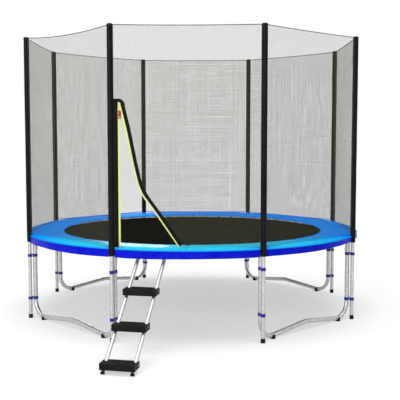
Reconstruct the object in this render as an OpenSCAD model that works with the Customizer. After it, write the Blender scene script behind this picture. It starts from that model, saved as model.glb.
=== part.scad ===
// Round garden trampoline with a ring frame, four bent legs, eight padded poles,
// a safety net with a zipped door, and a hook-on ladder. Millimetres, +Z up.
// The origin is on the ground under the centre of the mat, and the door faces -Y.

/* [Frame] */
// Radius of the ring frame, to the middle of its tube
rail_r = 1504; // [1494:1:1510]
// Diameter of the ring frame's tube
rail_d = 42; // [40:1:43]
// Height of the ring frame's tube, to its middle
rail_z = 710; // [706:1:714]
// Wall of every steel tube
wall = 1.5; // [1.2:0.1:1.8]
// Diameter of the leg tubes
leg_d = 38; // [36:1:39]
// Radius of the bend where a leg turns along the ground
leg_bend_r = 140; // [110:5:160]
// How much each half of a leg's ground tube rises towards its middle, in degrees
leg_rise = 6; // [4:0.5:7]

/* [Poles] */
// Radius of the circle that the net's poles stand on
pole_r = 1550; // [1549:1:1553]
// Diameter of the pole tubes
pole_d = 32; // [28:1:33]
// Height of the top of the poles' caps
pole_top = 2480; // [2300:10:2600]
// Diameter of the foam sleeves
foam_d = 48; // [46:1:49]
// Height where a foam sleeve starts
foam_z = 685; // [680:1:695]
// Height of the upper row of pole clamps
clamp_high_z = 580; // [540:5:585]
// Height of the lower row of pole clamps
clamp_low_z = 185; // [180:5:260]
// Height of a clamp
clamp_h = 25; // [20:1:30]

/* [Mat and springs] */
// Radius of the jumping mat
mat_r = 1290; // [1280:1:1292]
// Height of the top of the mat
mat_z = 717; // [715:0.5:719]
// Thickness of the mat
mat_t = 2; // [1.5:0.5:3]
// Number of springs
spring_count = 60; // [48:12:60]
// Outer diameter of a spring's coil
spring_d = 22; // [18:1:23]

/* [Pad] */
// Radius of the pad's inner edge
pad_in_r = 1215; // [1205:5:1230]
// Radius of the pad's outer edge
pad_out_r = 1546; // [1544:1:1548]
// Height of the pad's underside
pad_z = 736.5; // [736.5:0.5:738]
// Thickness of the pad at its crown
pad_t = 18; // [14:1:20]
// Height of the skirt's lower edge
skirt_z = 675; // [670:1:690]

/* [Net] */
// Height where the net starts, above the pad
net_z = 758; // [757:1:770]
// Thickness of the net's cords
net_t = 4; // [3:0.5:5]
// Gaps across and up each side of the net
net_gaps = 6; // [4:1:6]
// Height of the top of the door
door_top = 1876; // [1700:1:1950]
// Distance of the door's zip from the middle of its side
door_x = 518; // [480:1:530]

/* [Ladder] */
// Angle of the ladder from upright, in degrees
ladder_lean = 53; // [40:1:56]
// Place of the ladder round the frame, in degrees
ladder_angle = -101; // [-103:0.5:-100]
// Distance between the ladder's two tubes
ladder_gap = 212; // [200:1:216]
// Diameter of the ladder's tubes
ladder_d = 28; // [24:1:28]
// Width of a step
step_w = 254; // [246:1:280]
// Depth of a step
step_depth = 118; // [90:1:125]
// Height of a step
step_h = 46; // [35:1:50]
// Height of the middle of the lowest step
step_low_z = 57; // [48:1:80]
// Rise from one step to the next
step_pitch = 204; // [190:1:215]

/* [Hidden] */
$fn = 64;
eps = 0.01;
sides = 8;
turn = 360 / sides;
seam = turn / 2;
fit_gap = 0.2;
steel = "#C4C4C5";
black = "#202020";
foam_black = "#242423";
mat_black = "#2A2A27";
net_grey = "#6E6E68";
clamp_blue = "#1E238C";
pad_blue = "#2A80E0";
skirt_blue = "#0C20D0";
zip_yellow = "#E6EB8C";
pull_red = "#C02814";

// Polar angle of the pole with this number; pole 1 is at the left of the door
function pole_angle(i) = -90 - seam + (i - 1) * turn;
// Places of the two uprights of a leg, to each side of its middle
leg_half = rail_r * sin(seam);
leg_out = rail_r * cos(seam);
rail_bore = rail_d / 2 - wall;
socket_r = leg_d / 2 + fit_gap + 2;
socket_z = rail_z - rail_d / 2 - 88;
socket_top = rail_z - rail_d / 2 - 6;
stub_angle = 60 / rail_r * 180 / PI;
leg_joint_z = 350;
leg_low_z = leg_d / 2 + 6;
leg_bend_z = leg_low_z + leg_bend_r;
leg_mid_r = 220;
bend_step = 0.3;
bend_lap = 0.3;
leg_neck_r = leg_d / 2 - wall - fit_gap;
screw_z = socket_z + 22;
leg_screw_z = leg_joint_z + 18;
pole_joint_z = 1250;
pole_foot_h = 35;
cap_h = 24;
cap_r = foam_d / 2;
foam_top = pole_top - cap_h;
foam_bore = pole_d / 2 + 0.3;
clamp_t = 3.2;
// The clamps are tightened by hand, so each pole's sit a little above or below their row
clamp_low_rise = [-5, 35, -5, -5, 24, 0, 16, -5];
clamp_high_rise = [-22, 5, 5, -129, 0, 0, 0, -17];
waist_w = 18;
bolt_r = 3;
bolt_head_r = 5.8;
clamp_bolt_x = (leg_d / 2 + pole_r - rail_r - pole_d / 2) / 2;
slot_w = 7;
slot_h = 12;
rail_neck_step = 0.6;
screw_hole_r = 3.3;
leg_neck_h = 65;
foot_w = 50;
foot_l = 28;
foot_base = 14;
ring_drop = -0.6;
loop_w = 18;
spring_pitch = 360 / spring_count;
spring_first = 1;
spring_z = mat_z - 4;
spring_in = mat_r + 36;
spring_out = rail_r - rail_d / 2 - 17;
wire = 3.2;
ring_wire = 4;
ring_in = mat_r + 6;
ring_out = mat_r + 28;
ring_half = 15;
band_w = 42;
band_t = 2.4;
band_z = mat_z - mat_t;
skirt_t = 2.5;
seam_w = 4;
seam_depth = 3;
side_out = pole_r * cos(seam);
side_half = pole_r * sin(seam) - foam_d / 2 - 0.6;
net_top = pole_top - 10;
net_cord_d = 6;
hem_h = 12;
tape_w = 16;
zip_gap = 5;
tape_t = 3;
tape_x = -door_x - zip_gap / 2;
slider_drop = 81;
slider_l = 24;
slider_w = 12.8;
slider_t = 1.8;
pull_l = 59;
pull_w = 22;
// The loose edge of the door runs from the zip's top, through a bend, to the pad
door_bend_x = -372;
door_bend_z = 1200;
door_low_x = -58;
hem_w = 28;
loose_hem_w = 32;
door_grid_w = 172;
door_grid_h = 222;
net_bar = 6;
ladder_off = 51;
hook_t = 3.5;
hook_w = 25;
hook_in = rail_d / 2 + 1.3;
ladder_start = 8;
ladder_foot_rise = 7;
ladder_foot_end = (rail_z - ladder_off * sin(ladder_lean) - ladder_foot_rise) / cos(ladder_lean);
ladder_end = ladder_foot_end - 10;
step_wall = 3.5;
step_forward = 18;
notch_w = 30;
groove_count = 5;
groove_pitch = 19;
groove_w = 10;
groove_depth = 1.2;
groove_back = 22;
groove_side = 42;
step_bolt_r = 2.4;

// ---- helpers ----

// Puts its children at a pole: x points outwards from the centre of the mat
module at_pole(i, r = 0) {
    rotate([0, 0, pole_angle(i)])
        translate([r, 0, 0])
            children();
}

module at_every_pole(r = 0) {
    for (i = [1:sides])
        at_pole(i, r)
            children();
}

// Puts its children at a spring: x points outwards, z is the height of the wire
module at_every_spring() {
    for (k = [0:spring_count - 1])
        rotate([0, 0, spring_first + k * spring_pitch])
            translate([0, 0, spring_z])
                children();
}

module tube(d, h, t = wall) {
    difference() {
        cylinder(d = d, h = h);
        translate([0, 0, -1])
            cylinder(d = d - 2 * t, h = h + 2);
    }
}

// A bar of round section from x = a to x = b
module rod_x(r, a, b) {
    translate([a, 0, 0])
        rotate([0, 90, 0])
            cylinder(r = r, h = b - a);
}

// A bar of round section along y, centred
module rod_y(r, length) {
    rotate([90, 0, 0])
        cylinder(r = r, h = length, center = true);
}

// ---- ring frame ----

// The slots of one eighth of the ring, on the inner side of its tube, for the springs
module spring_slots(i) {
    for (k = [0:spring_count - 1]) {
        angle = spring_first + k * spring_pitch;
        off = (angle - pole_angle(i) + 540) % 360 - 180;
        if (abs(off) < seam + stub_angle + 1)
            rotate([0, 0, angle])
                translate([rail_r - rail_d / 2 - 2, -slot_w / 2, spring_z - slot_h / 2])
                    cube([rail_neck_step + 6, slot_w, slot_h]);
    }
}

// A solid bar bent along the ring, from angle a to angle b
module ring_bar(r, a, b) {
    rotate([0, 0, a])
        rotate_extrude(angle = b - a, $fn = 128)
            translate([rail_r, 0])
                circle(r = r);
}

// One eighth of the ring, with the welded socket for a leg and a neck that
// goes into the next piece
module top_rail(i) {
    mid = pole_angle(i);
    end = mid + seam;
    neck_r = rail_bore - fit_gap;
    color(steel)
        difference() {
            union() {
                difference() {
                    union() {
                        translate([0, 0, rail_z])
                            ring_bar(rail_d / 2, mid - seam + 0.02, end);
                        at_pole(i, rail_r)
                            translate([0, 0, socket_z])
                                cylinder(r = socket_r, h = rail_z - socket_z);
                    }
                    translate([0, 0, rail_z])
                        ring_bar(rail_bore, mid - seam - 1, end + 1);
                }
                translate([0, 0, rail_z])
                    difference() {
                        union() {
                            ring_bar(rail_bore + rail_neck_step, end - 0.6, end - 0.1);
                            ring_bar(neck_r, end - 0.3, end + stub_angle);
                        }
                        ring_bar(neck_r - wall, end - 1, end + stub_angle + 1);
                    }
            }
            at_pole(i, rail_r)
                translate([0, 0, socket_z - 1])
                    cylinder(r = leg_d / 2 + fit_gap, h = socket_top - socket_z + 1);
            at_pole(i, rail_r)
                translate([0, 0, screw_z])
                    rod_x(screw_hole_r, -socket_r - 1, 0);
            spring_slots(i);
        }
}

// ---- legs ----

// Puts its children at the middle of a leg: x points outwards, y runs along it
module at_leg(i) {
    rotate([0, 0, -135 + (i - 1) * 90])
        translate([leg_out, 0, 0])
            children();
}

// Half of the bent ground tube, from the upright's joint to the middle
module leg_half_tube() {
    end_y = leg_half - leg_bend_r * (1 + sin(leg_rise));
    end_z = leg_low_z + leg_bend_r * (1 - cos(leg_rise));
    middle_z = end_z + end_y * tan(leg_rise) - leg_mid_r / cos(leg_rise);
    translate([0, leg_half, leg_bend_z - bend_lap])
        rotate([0, 0, 90])
            tube(leg_d, leg_joint_z - leg_bend_z + bend_lap);
    translate([0, leg_half - leg_bend_r, leg_bend_z])
        rotate([0, 90, 0])
            rotate([0, 0, -leg_rise])
                tube_bend(leg_d, leg_bend_r, 90 + leg_rise);
    translate([0, end_y, end_z])
        rotate([90 - leg_rise, 0, 0])
            translate([0, 0, -bend_lap])
                rotate([0, 0, -90])
                    tube(leg_d, end_y / cos(leg_rise) - leg_mid_r * tan(leg_rise) + 2 * bend_lap);
    translate([0, 0, middle_z])
        rotate([0, -90, 0])
            tube_bend(leg_d, leg_mid_r, leg_rise);
    // the neck that goes into the upright
    translate([0, leg_half, leg_joint_z - 4])
        tube(2 * leg_neck_r + 1.4, 3.5, leg_d / 2 - leg_neck_r);
    translate([0, leg_half, leg_joint_z - 2])
        tube(2 * leg_neck_r, leg_neck_h + 2);
}

// A tube bent to a radius, from the x axis through an angle about z. Its wall is a little thicker
// than a straight tube's
module tube_bend(d, bend_r, angle) {
    rotate_extrude(angle = angle, $fn = 128)
        translate([bend_r, 0])
            difference() {
                circle(d = d + 2 * bend_step);
                circle(d = d - 2 * wall - 2 * bend_step);
            }
}

module leg_base(i) {
    color(steel)
        at_leg(i)
            for (flip = [0, 1])
                mirror([0, flip, 0])
                    difference() {
                        leg_half_tube();
                        translate([0, leg_half, leg_screw_z])
                            rod_x(screw_hole_r, -leg_d, 0);
                    }
}

module leg_uprights(i) {
    color(steel)
        at_leg(i)
            for (side = [-1, 1])
                translate([0, side * leg_half, 0])
                    difference() {
                        translate([0, 0, leg_joint_z])
                            tube(leg_d, socket_top - 2 - leg_joint_z);
                        // the screws stand square to the ring at the top, to the leg below
                        translate([0, 0, leg_screw_z])
                            rod_x(screw_hole_r, -leg_d, 0);
                        translate([0, 0, screw_z])
                            rotate([0, 0, side * seam])
                                rod_x(screw_hole_r, -leg_d, 0);
                    }
}

// Rubber saddles that the bent tubes stand on
module leg_feet() {
    color(black)
        for (i = [1:4], flip = [0, 1])
            at_leg(i)
                mirror([0, flip, 0])
                    translate([0, leg_half - leg_bend_r, 0])
                        difference() {
                            union() {
                                translate([-foot_w / 2, -foot_l / 2, 0])
                                    cube([foot_w, foot_l, foot_base]);
                                translate([0, 0, leg_low_z])
                                    rod_y(leg_d / 2 + 4.5, foot_l);
                            }
                            translate([-foot_w, -foot_l, leg_low_z + 8])
                                cube([2 * foot_w, 2 * foot_l, 40]);
                            translate([0, 0, leg_bend_z])
                                rotate([0, 90, 0])
                                    rotate([0, 0, -20])
                                        rotate_extrude(angle = 40, $fn = 128)
                                            translate([leg_bend_r, 0])
                                                circle(r = leg_d / 2 + bend_step + fit_gap);
                        }
}

// A self-drilling screw with its axis along -x, head outside the surface at x = 0
module screw(length) {
    rotate([0, 90, 0]) {
        cylinder(r = 3, h = length);
        translate([0, 0, -1])
            cylinder(r = 7, h = 1 + eps);
        translate([0, 0, -5])
            difference() {
                cylinder(r = 5, h = 5, $fn = 6);
                translate([0, 0, -1])
                    cylinder(r = 2, h = 3);
            }
    }
}

module frame_screws() {
    color(steel) {
        at_every_pole(rail_r)
            translate([-socket_r, 0, screw_z])
                screw(8);
        for (i = [1:4])
            at_leg(i)
                for (side = [-1, 1])
                    translate([-leg_d / 2, side * leg_half, leg_screw_z])
                        screw(7);
    }
}

// ---- poles ----

module pole_lower(i) {
    color(steel)
        at_pole(i, pole_r)
            translate([0, 0, 4])
                tube(pole_d, pole_joint_z - 4);
}

module foam_sleeve(i) {
    color(foam_black)
        at_pole(i, pole_r)
            translate([0, 0, foam_z])
                difference() {
                    cylinder(d = foam_d, h = foam_top - foam_z);
                    translate([0, 0, -1])
                        cylinder(r = foam_bore, h = foam_top - foam_z + 2);
                }
}

module upper_poles() {
    neck = pole_d / 2 - wall - fit_gap;
    color(steel)
        at_every_pole(pole_r)
            difference() {
                union() {
                    translate([0, 0, pole_joint_z + 0.2])
                        cylinder(d = pole_d, h = foam_top - 2 - pole_joint_z);
                    translate([0, 0, pole_joint_z - 80])
                        cylinder(r = neck, h = 81);
                }
                translate([0, 0, pole_joint_z - 81])
                    cylinder(r = neck - wall, h = foam_top - pole_joint_z + 90);
            }
}

module pole_caps() {
    color(black)
        at_every_pole(pole_r) {
            translate([0, 0, foam_top + fit_gap])
                rotate_extrude()
                polygon([
                    [0, 0], [cap_r, 0], [cap_r, cap_h - 9], [cap_r - 3, cap_h - 3],
                    [cap_r - 9.6, cap_h - fit_gap], [0, cap_h - fit_gap]
                ]);
            translate([0, 0, foam_top - 28])
                cylinder(r = pole_d / 2 - 2 * wall - 2 * fit_gap, h = 29);
        }
}

module pole_feet() {
    color(black)
        at_every_pole(pole_r)
            difference() {
                rotate_extrude()
                    polygon([[0, 0], [19, 0], [20, 1], [20, 6], [18.4, 8], [18.4, pole_foot_h],
                        [0, pole_foot_h]]);
                translate([0, 0, 3.8])
                    cylinder(d = pole_d + 2 * fit_gap, h = pole_foot_h);
            }
}

module clamp_bore(r, x) {
    translate([x, 0, -1])
        cylinder(r = r, h = clamp_h + 2);
}

// A moulded clamp round a leg's upright and a pole, pulled together by a bolt
module pole_clamp() {
    leg_in = leg_d / 2 + fit_gap;
    pole_in = pole_d / 2 + fit_gap;
    difference() {
        union() {
            cylinder(r = leg_in + clamp_t, h = clamp_h);
            translate([pole_r - rail_r, 0, 0])
                cylinder(r = pole_in + clamp_t, h = clamp_h);
            translate([leg_in, -waist_w / 2, 0])
                cube([pole_r - rail_r - leg_in - pole_in, waist_w, clamp_h]);
        }
        clamp_bore(leg_in, 0);
        clamp_bore(pole_in, pole_r - rail_r);
        translate([clamp_bolt_x, 0, clamp_h / 2]) {
            rod_y(bolt_r + fit_gap, 40);
            for (side = [-1, 1])
                translate([0, side * (waist_w / 2 + 10), 0])
                    rod_y(bolt_head_r + 0.8, 20);
        }
    }
}

module at_every_clamp() {
    for (i = [1:sides])
        for (z = [clamp_low_z + clamp_low_rise[i - 1], clamp_high_z + clamp_high_rise[i - 1]])
            at_pole(i, rail_r)
                translate([0, 0, z - clamp_h / 2])
                    children();
}

module pole_clamps() {
    color(clamp_blue)
        at_every_clamp()
            pole_clamp();
}

module clamp_bolts() {
    color(steel)
        at_every_clamp()
            translate([clamp_bolt_x, 0, clamp_h / 2]) {
                rod_y(bolt_r, 32);
                translate([0, waist_w / 2 + 2.2, 0])
                    rod_y(bolt_head_r, 4);
                translate([0, -waist_w / 2 - 2.7, 0])
                    rotate([90, 0, 0])
                        cylinder(r = bolt_head_r, h = 5, center = true, $fn = 6);
            }
}

// ---- mat and springs ----

module mat() {
    color(mat_black)
        translate([0, 0, mat_z - mat_t])
            cylinder(r = mat_r, h = mat_t, $fn = 180);
}

// Webbing sewn under the mat's edge, with a loop for each ring
module mat_band() {
    color(mat_black)
        difference() {
            union() {
                translate([0, 0, band_z - band_t])
                    difference() {
                        cylinder(r = mat_r, h = band_t - eps, $fn = 180);
                        translate([0, 0, -1])
                            cylinder(r = mat_r - band_w, h = band_t + 2, $fn = 180);
                    }
                at_every_spring()
                    translate([mat_r - 4, -loop_w / 2, ring_drop - 4])
                        cube([14, loop_w, 8]);
            }
            at_every_spring()
                translate([ring_in - ring_wire / 2 - 0.3, -20, ring_drop - ring_wire / 2 - 0.3])
                    cube([ring_wire + 0.6, 40, ring_wire + 0.6]);
            translate([0, 0, band_z - eps])
                cylinder(r = mat_r + 0.3, h = 10, $fn = 180);
        }
}

// Triangular steel rings that the springs hook to
module mat_rings() {
    color(steel)
        at_every_spring()
            translate([0, 0, ring_drop - ring_wire / 2])
                linear_extrude(height = ring_wire)
                    difference() {
                        polygon([
                            [ring_in - ring_wire / 2, -ring_half],
                            [ring_in - ring_wire / 2, ring_half],
                            [ring_out + ring_wire / 2, 5],
                            [ring_out + ring_wire / 2, -5]
                        ]);
                        polygon([
                            [ring_in + ring_wire / 2, -ring_half + ring_wire + 1],
                            [ring_in + ring_wire / 2, ring_half - ring_wire - 1],
                            [ring_out - ring_wire / 2, 3],
                            [ring_out - ring_wire / 2, -3]
                        ]);
                    }
}

// Each spring hooks over a ring at its inner end and into the frame at its outer end
module springs() {
    outer_x = rail_r - rail_d / 2 + wall + 4;
    inner_x = ring_out - 5;
    color(steel)
        at_every_spring() {
            rod_x(spring_d / 2, spring_in, spring_out);
            rod_x(wire / 2, spring_out - 1, outer_x);
            translate([outer_x, 0, -5])
                cylinder(r = wire / 2 + 0.1, h = 5 + wire);
            translate([0, 0, 4])
                rod_x(wire / 2, inner_x, spring_in + 1);
            translate([inner_x, 0, -3])
                cylinder(r = wire / 2 + 0.1, h = 7 + wire);
        }
}

// ---- pad ----

// Height of the pad above its underside, at a part t of its width
function crown(t) = pad_t * (0.25 + 0.75 * pow(1 - pow(abs(2 * t - 1), 3), 0.6));

module pole_notches() {
    at_every_pole(pole_r)
        translate([0, 0, skirt_z - 10])
            cylinder(r = foam_d / 2 + 1.5, h = 150);
}

// The padded ring over the springs, crowned, with a drawn-in line at each seam
module pad() {
    steps = 14;
    width = pad_out_r - pad_in_r;
    top = [for (k = [0:steps]) [pad_in_r + width * k / steps, pad_z + crown(k / steps)]];
    color(pad_blue)
        difference() {
            rotate_extrude($fn = 180)
                polygon(concat([[pad_in_r, pad_z], [pad_out_r, pad_z]], [for (k = [steps:-1:0]) top[k]]));
            for (k = [1:sides])
                rotate([0, 0, k * turn])
                    translate([pad_in_r - 5, -seam_w / 2, pad_z + pad_t - seam_depth])
                        cube([width + 10, seam_w, seam_depth + 5]);
            pole_notches();
        }
}

// The pad's hanging edge, which hides the ring frame
module pad_skirt() {
    color(skirt_blue)
        difference() {
            translate([0, 0, skirt_z])
                cylinder(r = pad_out_r + 0.3 + skirt_t, h = pad_z + 4 - skirt_z, $fn = 180);
            translate([0, 0, skirt_z - 1])
                cylinder(r = pad_out_r + 0.3, h = pad_z + 10 - skirt_z, $fn = 180);
            pole_notches();
        }
}

// ---- net ----

// Puts its children on a side of the net: x runs along it, y = 0 is the net's plane,
// side 1 is the door's and the numbers run the way the poles do
module at_side(i) {
    rotate([0, 0, (i - 1) * turn])
        translate([0, -side_out, 0])
            children();
}

// A sheet of the XZ plane, centred on y = 0
module upright_sheet(t = net_t) {
    rotate([90, 0, 0])
        linear_extrude(height = t, center = true)
            children();
}

// A grid of cords across the part of the plane from a to b
module lattice(a, b, across, up) {
    size = b - a;
    gap_x = (size[0] - net_bar) / across;
    gap_z = (size[1] - net_bar) / up;
    difference() {
        translate(a)
            square(size);
        for (m = [0:across - 1], n = [0:up - 1])
            translate(a + [net_bar + m * gap_x, net_bar + n * gap_z])
                square([gap_x - net_bar, gap_z - net_bar]);
    }
}

module net_walls() {
    color(net_grey)
        for (i = [2:sides])
            at_side(i)
                upright_sheet()
                    lattice([-side_half, net_z], [side_half, net_top], net_gaps, net_gaps);
}

// The outline of the net beside the open door
module door_side_outline(inset = 0) {
    polygon([
        [-door_x + zip_gap / 2 + inset, door_top - 2 - inset],
        [door_bend_x + 1.1 * inset, door_bend_z],
        [door_low_x + 1.3 * inset, net_z + inset],
        [side_half - inset, net_z + inset],
        [side_half - inset, door_top - 2 - inset]
    ]);
}

module net_door() {
    color(net_grey) {
        at_side(1)
            upright_sheet()
                lattice([-side_half, door_top + 2], [side_half, net_top], net_gaps, 2);
        at_side(1)
            upright_sheet()
                difference() {
                    door_side_outline();
                    intersection() {
                        door_side_outline(net_bar);
                        for (m = [-3:3], n = [0:4])
                            translate([m * door_grid_w - 8, net_z + 8 + n * door_grid_h])
                                square([door_grid_w - net_bar, door_grid_h - net_bar]);
                    }
                }
    }
}

// The cord along the top of the net, from pole to pole
module net_cord() {
    color(net_grey)
        for (i = [1:sides])
            at_side(i)
                translate([0, 0, net_top + 0.5 + net_cord_d / 2])
                    rotate([0, 90, 0])
                        cylinder(d = net_cord_d, h = 2 * side_half, center = true);
}

// The hem along the bottom of the net, which lies just above the pad
module hem_strip(a, b) {
    for (face = [-1, 1])
        translate([a, face * (net_t / 2 + 0.3 + 0.75) - 0.75, net_z - 2])
            cube([b - a, 1.5, hem_h]);
    translate([a, -net_t / 2 - 1, net_z - 3])
        cube([b - a, net_t + 2, 2.5]);
}

module net_hem() {
    color(pad_blue) {
        for (i = [2:sides])
            at_side(i)
                hem_strip(-side_half, side_half);
        at_side(1)
            hem_strip(door_low_x + tape_w + loose_hem_w + 4, side_half);
    }
}

// ---- door ----

// The fixed side of the door: a band up the pole, a band over the top, and the zip's tape
module door_hem_fixed() {
    left = -side_half;
    tape_left = tape_x - tape_w;
    at_side(1) {
        color(black) {
            translate([left, -1.5, net_z - 2])
                cube([tape_left - left, 3, door_top - net_z]);
            translate([left, -net_t / 2 - 2, door_top + 3])
                cube([tape_left - left + tape_w + 48, 1.6, hem_w]);
        }
        color(zip_yellow)
            translate([tape_left, -tape_t / 2, net_z])
                cube([tape_w, tape_t, door_top - 4 - net_z]);
    }
}

// A strip beside the loose edge, from a to b wide, on its far side from the net
module edge_strip(a, b) {
    top_x = -door_x + zip_gap / 2;
    outline = [[top_x, door_top - 3], [door_bend_x, door_bend_z], [door_low_x, net_z]];
    polygon(concat(
        [for (p = outline) p + [a, 0]],
        [for (k = [2:-1:0]) outline[k] + [b, 0]]
    ));
}

// The loose side of the door: a black hem on the net with the zip's other tape along it
module door_hem_loose() {
    at_side(1) {
        color(black)
            translate([0, -net_t / 2 - 0.3 - 0.8, 0])
                upright_sheet(1.6)
                    edge_strip(tape_w, tape_w + loose_hem_w);
        color(zip_yellow)
            translate([0, -net_t / 2 - 0.3 - 0.8, 0])
                upright_sheet(1.6)
                    edge_strip(0, tape_w);
    }
}

// The slider runs on the edge of the fixed tape, with its pull hanging in front
module zip_slider() {
    half = tape_t / 2 + 0.4;
    color(pull_red)
        at_side(1)
            translate([tape_x, 0, door_top - slider_drop]) {
                for (face = [-1, 1])
                    translate([-11, face * (half + slider_t / 2) - slider_t / 2, 0])
                        cube([slider_w, slider_t, slider_l]);
                translate([0.4, -half - 0.5, 0])
                    cube([1.4, 2 * half + 1, slider_l]);
                translate([-pull_w / 2, -half - 4.4, 18 - pull_l])
                    difference() {
                        cube([pull_w, 2.4, pull_l]);
                        translate([pull_w / 2, 0, pull_w / 2])
                            rod_y(pull_w / 4, 20);
                    }
                translate([-9, -half - 2.4, 4])
                    cube([6, 1, 10]);
            }
}

// ---- ladder ----

// The hooks turn about a straight line through the middle of the frame's tube at both of them,
// which lies a little inside the tube's own curve
ladder_turn_r = sqrt(pow(rail_r, 2) - pow(ladder_gap / 2, 2));
ladder_x0 = ladder_turn_r - ladder_off * cos(ladder_lean);
ladder_z0 = rail_z - ladder_off * sin(ladder_lean);
// Distance from the centre of the mat to a ladder tube's middle, at a height
function ladder_x(z) = ladder_x0 + (ladder_z0 - z) * tan(ladder_lean);

// Puts its children on the frame's tube at the ladder: x points outwards
module at_ladder() {
    rotate([0, 0, ladder_angle])
        children();
}

// x runs down the ladder from the frame's tube, z stands square to it
module along_ladder() {
    at_ladder()
        translate([ladder_turn_r, 0, rail_z])
            rotate([0, 90 - ladder_lean, 0])
                children();
}

module ladder_rod(r, a, b, side) {
    translate([0, side * ladder_gap / 2, -ladder_off])
        rod_x(r, a, b);
}

// A tube with a flat hook welded on it, which hangs over the ring frame
module ladder_rail(side) {
    color(steel)
        difference() {
            along_ladder()
                difference() {
                    union() {
                        ladder_rod(ladder_d / 2, ladder_start, ladder_end, side);
                        translate([hook_in, side * ladder_gap / 2 - hook_w / 2, -ladder_off + 4])
                            cube([hook_t, hook_w, ladder_off - 4]);
                        translate([0, side * ladder_gap / 2, 0])
                            rotate([90, 0, 0])
                                rotate_extrude(angle = 232)
                                    translate([hook_in, -hook_w / 2])
                                        square([hook_t, hook_w]);
                    }
                    ladder_rod(ladder_d / 2 - wall, ladder_start - 1, ladder_end + 1, side);
                }
            for (k = [1:3])
                step_bolt_holes(step_z(k));
        }
}

// Height of the middle of a step; step 1 is the highest
function step_z(k) = step_low_z + (3 - k) * step_pitch;

// A moulded step: a tread with a rim, hollow below. The tubes pass through notches in its back
// corners, and its cheeks are bolted to them from outside
module step(k) {
    z = step_z(k);
    low = z - step_h / 2;
    back = ladder_x(z) - step_depth / 2 + step_forward;
    notch_x = ladder_x(low + step_h) + ladder_d / 2 / cos(ladder_lean) + 6;
    color(black)
        difference() {
            at_ladder()
                difference() {
                    translate([back, -step_w / 2, low])
                        cube([step_depth, step_w, step_h]);
                    translate([back + step_wall, -step_w / 2 + step_wall, low - 1])
                        cube([step_depth - 2 * step_wall, step_w - 2 * step_wall, step_h - step_wall + 1]);
                    for (side = [-1, 1])
                        translate([back - 1, side * ladder_gap / 2 - notch_w / 2, low - 1])
                            cube([notch_x - back, notch_w, step_h + 2]);
                    for (row = [0:groove_count - 1])
                        translate([
                            back + groove_back + row * groove_pitch,
                            -step_w / 2 + groove_side,
                            low + step_h - groove_depth
                        ])
                            cube([groove_w, step_w - 2 * groove_side, groove_depth + 1]);
                }
            step_bolt_holes(z);
        }
}

module step_bolt_holes(z) {
    at_ladder()
        for (side = [-1, 1])
            translate([ladder_x(z), side * (ladder_gap / 2 + 28), z])
                rod_y(step_bolt_r + 0.3, 40);
}

module ladder_bolts() {
    color(steel)
        at_ladder()
            for (k = [1:3], side = [-1, 1]) {
                z = step_z(k);
                translate([ladder_x(z), side * step_w / 2, z]) {
                    translate([0, -side * 6, 0])
                        rod_y(step_bolt_r, 12.4);
                    translate([0, side * 1.6, 0])
                        rod_y(5, 3);
                }
            }
}

// End plugs, cut level where they stand on the ground
module ladder_feet() {
    color(black)
        intersection() {
            along_ladder()
                for (side = [-1, 1])
                    union() {
                        ladder_rod(ladder_d / 2 + 1.5, ladder_end + fit_gap, ladder_foot_end, side);
                        ladder_rod(ladder_d / 2 - wall - fit_gap, ladder_end - 20, ladder_end + 5, side);
                    }
            translate([-3000, -3000, 0])
                cube([6000, 6000, 300]);
        }
}

top_rail(1);  // top_rail_1
top_rail(2);  // top_rail_2
top_rail(3);  // top_rail_3
top_rail(4);  // top_rail_4
top_rail(5);  // top_rail_5
top_rail(6);  // top_rail_6
top_rail(7);  // top_rail_7
top_rail(8);  // top_rail_8
leg_base(1);  // leg_base_1
leg_base(2);  // leg_base_2
leg_base(3);  // leg_base_3
leg_base(4);  // leg_base_4
leg_uprights(1);  // leg_uprights_1
leg_uprights(2);  // leg_uprights_2
leg_uprights(3);  // leg_uprights_3
leg_uprights(4);  // leg_uprights_4
pole_lower(1);  // pole_lower_1
pole_lower(2);  // pole_lower_2
pole_lower(3);  // pole_lower_3
pole_lower(4);  // pole_lower_4
pole_lower(5);  // pole_lower_5
pole_lower(6);  // pole_lower_6
pole_lower(7);  // pole_lower_7
pole_lower(8);  // pole_lower_8
foam_sleeve(1);  // foam_sleeve_1
foam_sleeve(2);  // foam_sleeve_2
foam_sleeve(3);  // foam_sleeve_3
foam_sleeve(4);  // foam_sleeve_4
foam_sleeve(5);  // foam_sleeve_5
foam_sleeve(6);  // foam_sleeve_6
foam_sleeve(7);  // foam_sleeve_7
foam_sleeve(8);  // foam_sleeve_8
upper_poles();
pole_caps();
pole_feet();
leg_feet();
pole_clamps();
clamp_bolts();
frame_screws();
mat();
mat_band();
mat_rings();
springs();
pad();
pad_skirt();
net_walls();
net_door();
net_cord();
net_hem();
door_hem_fixed();
door_hem_loose();
zip_slider();
ladder_rail(-1);  // ladder_rail_left
ladder_rail(1);  // ladder_rail_right
step(1);  // step_1
step(2);  // step_2
step(3);  // step_3
ladder_feet();
ladder_bolts();
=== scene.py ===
# %% [markdown]
# # A round garden trampoline
# The steel frame, feet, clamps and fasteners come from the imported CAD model, which is loaded
# as a fixed frame. This notebook gives each of them a finish, and makes the soft pieces that
# a solid model can't show well: the padded edge, the skirt, the jumping mat, the springs, the
# foam sleeves, the safety net and its zipped door. Everything is in metres.

# %% Load the frame
import math
import random

import bpy
import bmesh
import numpy as np
from mathutils import Matrix, Vector


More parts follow.
